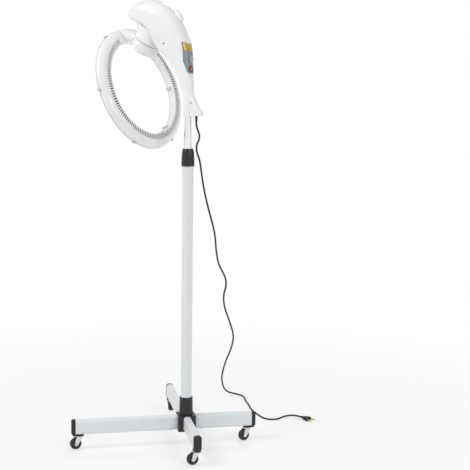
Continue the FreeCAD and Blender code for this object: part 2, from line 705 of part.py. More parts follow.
def screw_hole(y, height, at_head):
    """Clearance hole with the head's recess, or the blind hole in the other shell."""
    z = STEM_BOTTOM + height
    if at_head:
        head = along_x(SCREW_HEAD + SLIP_GAP, screw_depth(height), 80, y, z)
        return along_x(SCREW_RADIUS + SLIP_GAP, -1, 80, y, z).fuse(head)
    return along_x(SCREW_RADIUS + RUN_GAP, -1, 7, y, z)


def housing_screws():
    """Screws that hold the two shells together, two put in from each side."""
    screws = []
    for side, y, height in screw_places():
        z = STEM_BOTTOM + height
        seat = screw_depth(height)
        head = along_x(SCREW_HEAD, seat, seat + 2.4, y, z)
        cross = block(seat + 1.4, seat + 3, y - 2.2, y + 2.2, z - 0.4, z + 0.4)
        cross = cross.fuse(block(seat + 1.4, seat + 3, y - 0.4, y + 0.4, z - 2.2, z + 2.2))
        screw = head.fuse(along_x(SCREW_RADIUS, -6.5, seat + 0.1, y, z)).cut(cross)
        screws.append(screw if side > 0 else mirrored(screw))
    return group(screws)


def stem_bush():
    """Closed bush in the stem; it turns on the mast and rests on the thrust plug."""
    outer = MAST_RADIUS + BUSH_WALL
    bore = MAST_RADIUS + RUN_GAP
    low = STEM_BOTTOM + 2
    seat = MAST_TOP + 2.5 + FACE_GAP
    return lathe([(bore, low), (outer, low), (outer, seat + 3), (0, seat + 3), (0, seat),
                  (bore, seat)])


def spine_cap():
    """Moulded cap on the crest behind the head, over the shells' joint."""
    ball = Part.makeSphere(1.0)
    stretch = Matrix()
    stretch.scale(*SPINE_CAP)
    cap = ball.transformGeometry(stretch)
    cap.rotate(Vector(0, 0, 0), Vector(1, 0, 0), 123)
    cap.translate(Vector(0, -40.0, STEM_BOTTOM + 333.0))
    half = half_loft(housing_sections(), -FACE_GAP)
    return cap.cut(half).cut(mirrored(half))


def skin_patch(inset, thickness, outline):
    """Piece that follows the housing's skin inside an outline."""
    patch = half_loft(housing_sections(), inset)
    patch = patch.cut(half_loft(housing_sections(), inset + thickness, 4))
    patch = patch.common(outline)
    patch = max(patch.Solids, key=lambda s: s.BoundBox.YMax)
    return patch.fuse(mirrored(patch)).removeSplitter()


def lens_outline(margin):
    """Outline of the amber lens at the panel's top."""
    return panel_outline(margin - LENS_MARGIN, PANEL_TOP, PANEL_TOP - LENS_HEIGHT)


def across_y(radius, y_low, y_high, height):
    """Cylinder along Y on the plane of symmetry."""
    return Part.makeCylinder(radius, y_high - y_low, Vector(0, y_low, STEM_BOTTOM + height),
                             Vector(0, 1, 0))


def control_panel():
    """Panel plate set in the window, with openings for the lens, timer and switch."""
    plate = skin_patch(PANEL_INSET, 2.0, panel_outline(0, PANEL_TOP, PANEL_BOTTOM))
    plate = plate.cut(lens_outline(SLIP_GAP / 2))
    plate = plate.cut(across_y(TIMER_COLLAR + SLIP_GAP, -20, 40, TIMER_HEIGHT))
    return plate.cut(across_y(SWITCH_RADIUS - 1 + SLIP_GAP, -20, 40, SWITCH_HEIGHT))


def amber_lens():
    """Plain amber window of the panel's lamp."""
    return skin_patch(PANEL_INSET - 0.3, 2.0, lens_outline(-SLIP_GAP / 2))


KNOB_BASE = 9.4           # y of the knob's back
SWITCH_FACE = 10.2        # y of the switch bezel's back


def timer_body():
    """Clockwork timer behind the panel, with its threaded collar."""
    z = STEM_BOTTOM + TIMER_HEIGHT
    shape = block(-15, 15, -24, 2, z - 13, z + 13)
    shape = shape.fuse(across_y(TIMER_COLLAR, 1, KNOB_BASE - 0.6, TIMER_HEIGHT))
    return shape.cut(across_y(KNOB_SHAFT + RUN_GAP, -14, 20, TIMER_HEIGHT))


def timer_knob():
    """Knob with a pointer ridge, on the timer's shaft."""
    disc = across_y(KNOB_RADIUS, KNOB_BASE, KNOB_BASE + KNOB_THICKNESS, TIMER_HEIGHT)
    rim = [e for e in disc.Edges if e.BoundBox.YMin > KNOB_BASE + KNOB_THICKNESS - 1e-6]
    disc = disc.makeChamfer(0.8, rim)
    z = STEM_BOTTOM + TIMER_HEIGHT
    face = KNOB_BASE + KNOB_THICKNESS
    ridge = block(-1.8, 1.8, face - 1, face + 2.4, z - KNOB_RADIUS + 2.5, z + KNOB_RADIUS - 1)
    shaft = across_y(KNOB_SHAFT, -13, KNOB_BASE + 1, TIMER_HEIGHT)
    return disc.fuse(ridge).fuse(shaft)


def switch_body():
    """Round rocker switch: bezel outside, body behind the panel."""
    z = STEM_BOTTOM + SWITCH_HEIGHT
    bezel = across_y(SWITCH_RADIUS, SWITCH_FACE, SWITCH_FACE + 1.6, SWITCH_HEIGHT)
    body = across_y(SWITCH_RADIUS - 1, -8, SWITCH_FACE + 1, SWITCH_HEIGHT)
    shape = bezel.fuse(body)
    shape = shape.cut(across_y(ROCKER_RADIUS + 0.8, SWITCH_FACE - 6, 30, SWITCH_HEIGHT))
    return shape.cut(along_x(1.2 + RUN_GAP, -8.8, 8.8, SWITCH_FACE - 1.6, z))


def rocker():
    """Rocker of the mains switch, resting tipped to OFF."""
    z = STEM_BOTTOM + SWITCH_HEIGHT
    pivot_y = SWITCH_FACE - 1.6
    shape = across_y(ROCKER_RADIUS, pivot_y - 1.6, pivot_y + 4.4, SWITCH_HEIGHT)
    for side in (-1, 1):
        shape = shape.fuse(along_x(1.2, *sorted((0, side * 8.7)), pivot_y, z))
    shape.rotate(Vector(0, pivot_y, z), Vector(1, 0, 0), -ROCKER_TILT)
    return shape


def terminal_block():
    """Terminal block on a boss of the left shell."""
    y, height = TERMINAL_PLACE
    z = STEM_BOTTOM + height
    h = TERMINAL_HALF
    shape = block(-h, h, y - 7, y + 7, z - 17, z + 17)
    shape = shape.cut(block(-h - 1, h - 4, y + 2, y + 8, z - 14, z + 14))
    for i in range(4):
        divider = block(-h, h - 4, y + 1.5, y + 7, z - 12.75 + 8 * i, z - 11.25 + 8 * i)
        shape = shape.fuse(divider)
    for i in range(3):
        for x in (-7, 4):
            screw = Part.makeCylinder(2.2, 2.4, Vector(x, y + 1.5, z - 8 + 8 * i), Vector(0, 1, 0))
            shape = shape.fuse(screw)
    return shape


# --- knuckle -----------------------------------------------------------------------------

def neck_collar():
    """Fixed collar under the head, with the web that carries the motor and the shaft bush."""
    shape = neck_body(0).cut(neck_body(-NECK_WALL, 2, 2))
    web = cylinder(90, WEB_BASE, WEB_BASE + WEB_THICKNESS).common(neck_body(-NECK_WALL / 2))
    shape = shape.fuse(web)
    shape = shape.cut(cylinder(SHAFT_RADIUS + 4, WEB_BASE - 1, WEB_BASE + WEB_THICKNESS + 1))
    shape = shape.cut(cylinder(2.6, WEB_BASE - 1, WEB_BASE + WEB_THICKNESS + 1, PINION_OFFSET))
    return on_knuckle(shape.removeSplitter())


def shaft_bush():
    """Flanged plain bush that the hollow shaft turns in."""
    bore = SHAFT_RADIUS + RUN_GAP
    body = SHAFT_RADIUS + 4 - RUN_GAP
    low = WEB_BASE - 3
    high = WEB_BASE + WEB_THICKNESS
    return on_knuckle(lathe([(bore, low), (body + 3, low), (body + 3, WEB_BASE), (body, WEB_BASE),
                             (body, high), (bore, high)]))


def rotor_bowl():
    """Turning bowl under the neck, with the boss that holds the shaft."""
    w = NECK_WALL
    r = NECK_RADIUS
    top = -2 * FACE_GAP
    d = BOWL_DEPTH
    outer = lathe([(0, top), (r, top), (r, -0.42 * d), (r - 1.5, -0.62 * d), (r - 5, -0.8 * d),
                   (r - 11, -0.92 * d), (r - 19, -0.98 * d), (r - 30, -d), (0, -d)])
    inner = lathe([(0, 5), (r - w, 5), (r - w, -0.42 * d), (r - w - 1.5, -0.6 * d),
                   (r - w - 5, -0.76 * d), (r - w - 11, -0.86 * d), (r - w - 19, -0.92 * d),
                   (0, -d + w)])
    boss = cylinder(SHAFT_RADIUS + 5, -d + 1, -0.3 * d)
    shape = outer.cut(inner).fuse(boss)
    return on_knuckle(shape.cut(cylinder(SHAFT_RADIUS + RUN_GAP / 2, -d + 5, 20)))


def hollow_shaft():
    """Shaft that carries the ring and leads its wires."""
    return on_knuckle(tube(SHAFT_RADIUS, SHAFT_BORE, -BOWL_DEPTH + 5.2, 50))


def gear_blank(teeth, bore):
    """Spur gear with straight-flanked teeth, its first tooth on +X."""
    pitch = GEAR_MODULE * teeth / 2
    tip, root = pitch + 0.85 * GEAR_MODULE, pitch - 1.2 * GEAR_MODULE
    step = 2 * math.pi / teeth
    points = []
    for i in range(teeth):
        for radius, share in ((root, -0.34), (tip, -0.11), (tip, 0.11), (root, 0.34)):
            t = (i + share) * step
            points.append(Vector(radius * math.cos(t), radius * math.sin(t), GEAR_BASE))
    face = Part.Face(Part.makePolygon(points + points[:1]))
    return face.extrude(Vector(0, 0, GEAR_WIDTH)).cut(cylinder(bore, 0, 60))


def drive_gear():
    """Large gear on the hollow shaft."""
    return on_knuckle(gear_blank(DRIVE_TEETH, SHAFT_RADIUS + RUN_GAP / 2))


def pinion():
    """Motor pinion with its shaft, half a tooth out of phase so that it meshes."""
    shape = turned(gear_blank(PINION_TEETH, 1.0), 180 + 180 / PINION_TEETH)
    shape = shape.fuse(cylinder(2.0, GEAR_BASE, WEB_BASE + WEB_THICKNESS + 6))
    return on_knuckle(moved(shape, PINION_OFFSET))


def gear_motor():
    """Small geared motor on the web, with its flange and terminals."""
    low = WEB_BASE + WEB_THICKNESS
    shape = cylinder(MOTOR_RADIUS, low, low + MOTOR_LENGTH)
    shape = shape.fuse(cylinder(MOTOR_RADIUS - 2, low, low + MOTOR_LENGTH + 3))
    shape = shape.cut(cylinder(2.0 + RUN_GAP, low - 1, low + 7))
    shape = shape.fuse(block(-2, 2, -MOTOR_RADIUS + 3, MOTOR_RADIUS - 3,
                             low + MOTOR_LENGTH + 2, low + MOTOR_LENGTH + 6))
    return on_knuckle(moved(shape, PINION_OFFSET))


def slip_ring_rotor():
    """Contact drum on the shaft."""
    low = WEB_BASE + WEB_THICKNESS + 4
    shape = tube(SHAFT_RADIUS + 2.2, SHAFT_RADIUS + RUN_GAP / 2, low, low + 14)
    for i in range(3):
        groove = tube(SHAFT_RADIUS + 4, SHAFT_RADIUS + 1.6, low + 2 + 4 * i, low + 4 + 4 * i)
        shape = shape.cut(groove)
    return on_knuckle(shape)


def slip_ring_stator():
    """Brush holder beside the drum, standing on the web."""
    low = WEB_BASE + WEB_THICKNESS
    x = SHAFT_RADIUS + 2.2 + FACE_GAP
    shape = block(-x - 12, -x, -7, 7, low, low + 20)
    return on_knuckle(shape)


# --- ring --------------------------------------------------------------------------------

def ring_place():
    """Placement of the ring's frame: local Z is its vented side, local Y its top."""
    tilt = math.radians(RING_TILT)
    normal = Vector(0, math.cos(tilt), math.sin(tilt))
    top = Vector(0, -math.sin(tilt), math.cos(tilt))
    side = top.cross(normal)
    rim = Vector(0, RING_TOP_Y, STEM_BOTTOM + RING_TOP_HEIGHT)
    centre = rim - top * RING_OUTER
    frame = Matrix(side.x, top.x, normal.x, centre.x, side.y, top.y, normal.y, centre.y,
                   side.z, top.z, normal.z, centre.z, 0, 0, 0, 1)
    return Placement(frame)


def on_ring(shape):
    """A copy carried from the ring's own frame to the machine."""
    copy = shape.copy()
    copy.Placement = ring_place().multiply(copy.Placement)
    return copy


def at_angle(shape, degrees):
    """A copy turned about the ring's axis from the top of the ring."""
    return turned(shape, -degrees)


def ring_profile(grow=0.0):
    """Outside of the ring's vented side, as (radius, height) corners."""
    out, inn, top = RING_OUTER + grow, RING_INNER - grow, RING_DEPTH + grow
    return [(inn, 0), (out, 0), (out - 0.3, 3), (out - 1.6, 7.5), (out - 4.5, 12.5),
            (out - 9.0, 17.5), (out - 15.0, 21.6), (out - 21.0, top - 0.6), (out - 25.0, top),
            (inn + 1.5, top), (inn, top - 1.5)]


def cavity_profile():
    """Inside of the ring cover."""
    out, inn = RING_OUTER - RING_WALL, RING_INNER + RING_WALL
    top = RING_DEPTH - RING_WALL
    return [(inn, -1), (out, -1), (out - 0.4, 3), (out - 1.8, 7.2), (out - 4.9, 11.8),
            (out - 9.4, 16.2), (out - 15.2, 19.6), (out - 22.0, top), (inn, top)]


def ring_cover():
    """Vented cover of the ring, open under the saddle, with a window for the grille."""
    shape = lathe(ring_profile()).cut(lathe(cavity_profile()))
    for angle in CLIP_ANGLES:
        for radius in (RING_OUTER - 5.0, RING_INNER + 5.0):
            boss = cylinder(2.6, 0, RING_DEPTH, 0, radius)
            shape = shape.fuse(at_angle(boss, angle).common(lathe(ring_profile())))
    for angle in CLIP_ANGLES:
        for radius in (RING_OUTER - 5.0, RING_INNER + 5.0):
            hole = cylinder(1.3 + RUN_GAP, -1, 7, 0, radius)
            shape = shape.cut(at_angle(hole, angle))
    window = tube(GRILLE_OUTER + SLIP_GAP, GRILLE_INNER - SLIP_GAP,
                  RING_DEPTH - GRILLE_THICKNESS - 3, RING_DEPTH + 2)
    window = window.cut(wedge(SLOT_START - 3.5, RING_OUTER + 48, -5, 60))
    shape = shape.cut(window)
    gap = math.degrees(SLIP_GAP / RING_OUTER)
    return on_ring(shape.cut(wedge(SADDLE_HALF_ANGLE + gap, RING_OUTER + 48, -5, 60)))


def vent_grille():
    """Slotted strip that fills the cover's window."""
    top = RING_DEPTH - 0.2
    low = top - GRILLE_THICKNESS
    strip = tube(GRILLE_OUTER, GRILLE_INNER, low, top)
    strip = strip.cut(wedge(SLOT_START - 3.3, RING_OUTER + 48, -5, 60))
    middle = (GRILLE_INNER + GRILLE_OUTER) / 2
    slot = block(-SLOT_WIDTH / 2, SLOT_WIDTH / 2, middle - SLOT_LENGTH / 2,
                 middle + SLOT_LENGTH / 2, low - 1, top + 1)
    count = round((360 - 2 * SLOT_START) / SLOT_PITCH) + 1
    slots = [at_angle(slot, SLOT_START + i * SLOT_PITCH) for i in range(count)]
    return on_ring(strip.cut(Part.makeCompound(slots)))


def saddle_and_neck():
    """Solid outline of the ring bracket before it is trimmed round the bowl."""
    saddle = lathe(ring_profile(SADDLE_PROUD)).common(wedge(SADDLE_HALF_ANGLE, RING_OUTER + 48, 0, 60))
    stations = [(6.0, 24.0, 46.0, 22.0), (24.0, 28.0, 41.0, 26.0), (42.0, 38.0, 35.0, 25.0),
                (60.0, 50.0, 31.0, 24.0), (76.0, 61.0, 29.0, 22.0)]
    wires = []
    for height, down, half_x, half_y in stations:
        middle = RING_OUTER - down
        points = []
        for i in range(16):
            t = 2 * math.pi * i / 16
            c, s = math.cos(t), math.sin(t)
            points.append(Vector(half_x * math.copysign(abs(c) ** 0.8, c),
                                 middle + half_y * math.copysign(abs(s) ** 0.8, s), height))
        curve = Part.BSplineCurve()
        curve.interpolate(Points=points, PeriodicFlag=True)
        wires.append(Part.Wire(curve.toShape()))
    return saddle.fuse(Part.makeLoft(wires, True, False))


def bowl_outline(gap):
    """Outside of the rotor bowl grown by a gap, and the room it needs to turn past the neck."""
    r, d = NECK_RADIUS + gap, BOWL_DEPTH + gap
    seam = 2 * FACE_GAP
    past = [(NECK_RADIUS - less + flare + seam, height) for height, less, flare in NECK_SECTIONS]
    return on_knuckle(lathe([(0, 60), (past[-1][0], 60), *reversed(past), (past[0][0], -seam),
                             (r, -seam), (r, -0.42 * d), (r - 1.5, -0.62 * d), (r - 5, -0.8 * d),
                             (r - 11, -0.92 * d), (r - 19, -0.98 * d), (r - 30, -d), (0, -d)]))


def ring_bracket():
    """Bracket between the bowl and the ring: a saddle over the ring and a neck to the bowl."""
    body = on_ring(saddle_and_neck()).cut(bowl_outline(SLIP_GAP / 2))
    room = lathe([(168, -1), (208, -1), (204, 12), (194, 19), (170, 19), (168, 14)])
    room = room.common(wedge(SADDLE_HALF_ANGLE + 2, RING_OUTER + 48, -5, 60))
    body = body.cut(on_ring(room))
    return max(body.Solids, key=lambda s: s.Volume)


def reflector():
    """Polished channel that carries the heater tubes, with its rim under the cover."""
    t = REFLECTOR_SHEET
    low, high = -t - 0.1, -0.1
    out, inn = RING_OUTER - 0.5, RING_INNER - 0.2
    shape = lathe([(inn, low), (173, low), (177.5, 11.6 - t), (196.5, 11.6 - t), (201, low),
                   (out, low), (out, high), (201 + t, high), (197.2, 11.6), (176.8, 11.6),
                   (173 - t, high), (inn, high)])
    for angle in CLIP_ANGLES:
        for radius in (RING_OUTER - 5.0, RING_INNER + 5.0):
            shape = shape.cut(at_angle(cylinder(1.5, -5, 3, 0, radius), angle))
    return on_ring(shape)


def arc_tube(radius, start, end, tube_radius, height):
    """Part of a torus between two angles from the top of the ring."""
    circle = Part.Wire(Part.makeCircle(tube_radius, Vector(0, radius, height), Vector(1, 0, 0)))
    swept = Part.Face(circle).revolve(Vector(0, 0, 0), Vector(0, 0, 1), -(end - start))
    return at_angle(swept, start)


def heater_tubes():
    """Two half-round quartz heater tubes."""
    return group([on_ring(arc_tube(HEATER_RADIUS, start, start + 160, HEATER_TUBE, HEATER_HEIGHT))
                  for start in (10, 190)])


def tube_holders():
    """Ceramic blocks at the tubes' ends and middles."""
    holders = []
    for angle in (10, 90, 170, 190, 270, 350):
        base = block(-3, 3, HEATER_RADIUS - 7, HEATER_RADIUS + 7, -2.2, 10.2)
        base = base.cut(Part.makeCylinder(HEATER_TUBE + SLIP_GAP, 12,
                                          Vector(-6, HEATER_RADIUS, HEATER_HEIGHT), Vector(1, 0, 0)))
        holders.append(on_ring(at_angle(base, angle)))
    return group(holders)


def thermostat():
    """Bimetal disc thermostat on the back of the reflector, at the ring's bottom."""
    shape = cylinder(8, 11.8, 16, 0, HEATER_RADIUS).fuse(cylinder(5, 16, 18.5, 0, HEATER_RADIUS))
    return on_ring(at_angle(shape, 180))


def wire_guard():
    """Welded wire guard under the heater tubes: three hoops and spokes with bent ends."""
    hoops = [Part.makeTorus(radius, GUARD_WIRE, Vector(0, 0, -GUARD_DROP))
             for radius in (174.0, HEATER_RADIUS, 199.0)]
    level = 1.5 * GUARD_WIRE - GUARD_DROP
    top = -REFLECTOR_SHEET - 0.2
    rods = []
    for i in range(GUARD_SPOKES):
        rod = Part.makeCylinder(GUARD_WIRE, 36, Vector(0, 168, level), Vector(0, 1, 0))
        for radius in (168 + GUARD_WIRE, 204 - GUARD_WIRE):
            rod = rod.fuse(cylinder(0.9 * GUARD_WIRE, level, top, 0, radius))
        rods.append(at_angle(rod, 360 * i / GUARD_SPOKES))
    return on_ring(hoops[0].fuse(hoops[1:] + rods))


def guard_clips():
    """Clips at six places on the outer and inner rims, hooked under the reflector's rim."""
    low, high = -REFLECTOR_SHEET - 3.0, -REFLECTOR_SHEET - 0.3
    half = CLIP_WIDTH / 2
    out, inn = RING_OUTER + 0.3, RING_INNER - 0.3
    outer = block(-half, half, out, out + 4, low, 6)
    outer = outer.fuse(block(-half, half, out - 10, out + 4, low, high))
    outer = outer.cut(cylinder(1.5, low - 1, high + 1, 0, RING_OUTER - 5.0))
    inner = block(-half, half, inn - 5, inn, low, 15)
    inner = inner.fuse(block(-half, half, inn - 5, inn + 9, low, high))
    inner = inner.cut(cylinder(1.5, low - 1, high + 1, 0, RING_INNER + 5.0))
    return group([on_ring(at_angle(clip, angle)) for angle in CLIP_ANGLES
                  for clip in (outer, inner)])


def ring_screws():
    """Screws up through each clip and the reflector's rim into the cover's bosses."""
    screws = []
    base = -REFLECTOR_SHEET - 3.0
    for angle in CLIP_ANGLES:
        for radius in (RING_OUTER - 5.0, RING_INNER + 5.0):
            head = cylinder(2.6, base - 1.6, base, 0, radius)
            slot = block(-3, 3, radius - 0.4, radius + 0.4, base - 2, base - 0.8)
            shank = cylinder(1.3, base - 0.5, 6, 0, radius)
            screws.append(on_ring(at_angle(head.cut(slot).fuse(shank), angle)))
    return group(screws)


# --- mains cord --------------------------------------------------------------------------

# The route from the strain relief down to the floor and along it to the plug. Heights above
# the floor follow the strain relief's height.
CORD_TOP = STEM_BOTTOM - RELIEF_DROP
CORD_POINTS = [
    (0.0, 33.0, 1122.0), (0.0, 33.0, 1104.0), (-6.0, 39.5, 1085.0), (-9.5, 41.2, 1065.0),
    (-5.4, 31.0, 1042.7), (-8.6, 28.5, 1019.9), (-20.7, 34.3, 991.0), (-34.2, 32.8, 942.7),
    (-56.2, 29.4, 879.4), (-91.4, 27.7, 803.5), (-131.3, 24.4, 729.0), (-165.8, 7.0, 655.7),
    (-194.0, -1.6, 606.0), (-229.5, 2.4, 561.5), (-252.7, -4.7, 524.2), (-268.6, -28.7, 481.8),
    (-298.6, -45.4, 429.9), (-352.7, -53.6, 358.6), (-398.7, -64.9, 296.3),
    (-428.0, -94.7, 239.3), (-457.5, -143.4, 168.2), (-495.5, -185.3, 94.7),
    (-530.0, -200.0, 45.0), (-568.0, -205.0, 13.0), (-596.0, -176.0, 3.6),
    (-586.0, -136.0, 3.4), (-545.0, -104.0, 3.4), (-500.0, -58.0, 3.4), (-456.0, -20.0, 3.4),
    (-404.0, 50.0, 3.4), (-382.0, 96.0, 3.4), (-408.0, 130.0, 3.4), (-448.0, 130.0, 4.4),
    (-478.0, 156.0, 8.2), (-471.5, 194.0, 8.2),
]


def cord_places():
    """The route's points for the stand's present height."""
    scale = CORD_TOP / CORD_POINTS[0][2]
    return [Vector(x, y, z * scale if z > 10 else z) for x, y, z in CORD_POINTS]


def cord_run(first, last):
    """Straight edge between two points."""
    return Part.LineSegment(first, last).toShape()


def cord_path(places):
    """Straight runs joined by tangent arcs as large as the runs allow."""
    edges, radii = [], []
    start = places[0]
    for before, corner, after in zip(places, places[1:], places[2:]):
        into, out = corner - before, after - corner
        short = min(into.Length, out.Length)
        turn = into.getAngle(out)
        reach = 0.45 * short
        radii.append(reach / math.tan(turn / 2))
        into.normalize()
        out.normalize()
        enter, leave = corner - into * reach, corner + out * reach
        bisect = (out - into)
        bisect.normalize()
        centre = corner + bisect * (radii[-1] / math.cos(turn / 2))
        middle = centre - bisect * radii[-1]
        edges.append(cord_run(start, enter))
        edges.append(Part.Arc(enter, middle, leave).toShape())
        start = leave
    edges.append(cord_run(start, places[-1]))
    return Part.Wire(edges), radii


def mains_cord():
    """The cord's plain tube."""
    places = cord_places()
    path, radii = cord_path(places)
    rim = Part.Wire(Part.makeCircle(CORD_RADIUS, places[0], places[1] - places[0]))
    shape = path.makePipeShell([rim], True, True)
    section = math.pi * CORD_RADIUS ** 2
    print("cord radii", [round(r) for r in radii])
    print(f"cord length {path.Length:.0f}, volume over section x length "
          f"{shape.Volume / section / path.Length:.4f}")
    return shape


def cord_gland():
    """Moulded strain relief, clipped in the tail's floor."""
    low, high = STEM_BOTTOM + 6, STEM_BOTTOM + 9
    g = GLAND_RADIUS
    tip = CORD_RADIUS + 0.9
    return moved(lathe([(0, CORD_TOP), (tip, CORD_TOP), (RELIEF_RADIUS, low - 6), (g + 1.6, low - 2),
                        (g + 1.6, low), (g, low), (g, high), (g + 1.4, high + 0.2), (g, high + 3),
                        (0, high + 3)]), 0, CORD_EXIT_Y)


def mains_plug():
    """Two-pin plug at the cord's end, lying on the floor."""
    before, end = cord_places()[-2:]
    heading = math.degrees(math.atan2(end.y - before.y, end.x - before.x))
    w, h, n = PLUG_WIDTH / 2, PLUG_HEIGHT / 2, PLUG_LENGTH
    body = block(14, n, -w, w, -h, h)
    body = body.makeFillet(3.0, [e for e in body.Edges if abs(e.Vertexes[0].X - n) > 1e-6
                                 or abs(e.Vertexes[-1].X - n) > 1e-6])
    nose = lathe([(0, 0), (CORD_RADIUS + 0.9, 0), (CORD_RADIUS + 2.4, 16), (0, 16)])
    nose.rotate(Vector(0, 0, 0), Vector(0, 1, 0), 90)
    body = body.fuse(nose)
    for side in (-1, 1):
        pin = Part.makeCylinder(PLUG_PIN_RADIUS, PLUG_PIN_LENGTH + 2,
                                Vector(n - 2, side * PLUG_PIN_SPACING / 2, 0), Vector(1, 0, 0))
        tip = [e for e in pin.Edges if e.BoundBox.XMin > n + PLUG_PIN_LENGTH - 1e-6]
        body = body.fuse(pin.makeChamfer(0.9, tip))
    return moved(turned(body, heading), end.x, end.y, end.z)


PARTS = {
    "hub_block": hub_block,
    "pole_collar": pole_collar,
    "hub_bolts": hub_bolts,
    "tube_foot_plug": tube_foot_plug,
    "lower_tube": lower_tube,
    "guide_bush": guide_bush,
    "clamp_sleeve": clamp_sleeve,
    "mast_tube": mast_tube,
    "mast_stop": mast_stop,
    "thrust_plug": thrust_plug,
    "stem_bush": stem_bush,
    "spine_cap": spine_cap,
    "housing_screws": housing_screws,
    "control_panel": control_panel,
    "amber_lens": amber_lens,
    "timer_body": timer_body,
    "timer_knob": timer_knob,
    "switch_body": switch_body,
    "rocker": rocker,
    "terminal_block": terminal_block,
    "neck_collar": neck_collar,
    "shaft_bush": shaft_bush,
    "rotor_bowl": rotor_bowl,
    "hollow_shaft": hollow_shaft,
    "drive_gear": drive_gear,
    "pinion": pinion,
    "gear_motor": gear_motor,
    "slip_ring_rotor": slip_ring_rotor,
    "slip_ring_stator": slip_ring_stator,
    "ring_cover": ring_cover,
    "vent_grille": vent_grille,
    "ring_bracket": ring_bracket,
    "reflector": reflector,
    "heater_tubes": heater_tubes,
    "tube_holders": tube_holders,
    "thermostat": thermostat,
    "wire_guard": wire_guard,
    "guard_clips": guard_clips,
    "ring_screws": ring_screws,
    "cord_gland": cord_gland,
    "mains_cord": mains_cord,
    "mains_plug": mains_plug,
}


def main():
    os.makedirs("parts", exist_ok=True)
    for name in LEG_ANGLES:
        save("leg_" + name, leg(name))
        save("leg_cap_" + name, leg_cap(name))
        save("caster_fork_" + name, group([caster_fork(name), caster_axle(name)]))
        save("caster_wheel_" + name, caster_wheel(name))
    save("housing_right", housing_shell(1))
    save("housing_left", housing_shell(-1))
    for name, make in PARTS.items():
        save(name, make())


if __name__ == "__main__":
    main()
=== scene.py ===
"""Looks of the ring-type hair color processor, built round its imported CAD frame.

Metres, in the CAD's frame: Z up, the pole's axis is the Z axis, the head's nose points to -Y.
Pieces are drawn in millimetres in a frame of their own and placed by a matrix.
"""

import json
import math

import bmesh
import bpy
from mathutils import Matrix, Vector
from mathutils.bvhtree import BVHTree


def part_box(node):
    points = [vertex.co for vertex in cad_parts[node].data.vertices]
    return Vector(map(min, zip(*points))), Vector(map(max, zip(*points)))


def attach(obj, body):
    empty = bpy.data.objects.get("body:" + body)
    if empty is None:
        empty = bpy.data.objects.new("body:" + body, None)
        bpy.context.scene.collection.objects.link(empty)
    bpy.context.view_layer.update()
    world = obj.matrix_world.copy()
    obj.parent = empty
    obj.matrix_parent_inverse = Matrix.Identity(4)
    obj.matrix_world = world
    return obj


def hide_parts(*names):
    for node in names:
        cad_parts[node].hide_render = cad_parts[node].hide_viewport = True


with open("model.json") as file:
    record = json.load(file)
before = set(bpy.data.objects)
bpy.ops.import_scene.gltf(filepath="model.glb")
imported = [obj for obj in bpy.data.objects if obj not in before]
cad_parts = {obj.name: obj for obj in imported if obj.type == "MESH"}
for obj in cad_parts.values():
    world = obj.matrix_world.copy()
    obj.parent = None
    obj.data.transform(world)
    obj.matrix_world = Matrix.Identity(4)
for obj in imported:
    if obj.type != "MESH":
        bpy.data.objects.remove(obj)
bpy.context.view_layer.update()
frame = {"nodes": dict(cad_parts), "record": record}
NODES = frame["nodes"]
SCENE = bpy.context.scene

LEGS = ("front_right", "front_left", "rear_right", "rear_left")


# --- camera ------------------------------------------------------------------------------

CAMERA_PLACE = Vector((3.0468, 2.1845, 1.2800))
CAMERA_HEADING = math.radians(125.64)     # of the pole's direction, from the +Y axis
CAMERA_YAW = math.radians(2.48)           # to the right of the pole
CAMERA_PITCH = math.radians(8.25)         # downwards
CAMERA_ROLL = math.radians(0.80)
SENSOR_WIDTH = 36.0                       # Blender's own, in millimetres
FOCAL_PIXELS = 1111.0
PICTURE_PIXELS = 470.0
CAMERA_LENS = SENSOR_WIDTH * FOCAL_PIXELS / PICTURE_PIXELS


def make_camera():
    """Camera at the photograph's place, looking past the pole."""
    data = bpy.data.cameras.new("camera")
    data.lens = CAMERA_LENS
    data.clip_start, data.clip_end = 0.05, 200.0
    cam = bpy.data.objects.new("camera", data)
    SCENE.collection.objects.link(cam)
    turn = Matrix.Rotation(CAMERA_HEADING, 3, "Z")
    cp, sp = math.cos(CAMERA_PITCH), math.sin(CAMERA_PITCH)
    cy, sy = math.cos(CAMERA_YAW), math.sin(CAMERA_YAW)
    right = turn @ Vector((cy, -sy, 0.0))
    ahead = turn @ Vector((sy * cp, cy * cp, -sp))
    up = right.cross(ahead)
    cr, sr = math.cos(CAMERA_ROLL), math.sin(CAMERA_ROLL)
    x_axis, y_axis = right * cr + up * sr, up * cr - right * sr
    m = Matrix((x_axis, y_axis, -ahead)).transposed().to_4x4()
    m.translation = CAMERA_PLACE
    cam.matrix_world = m
    SCENE.camera = cam


# --- mains cord --------------------------------------------------------------------------

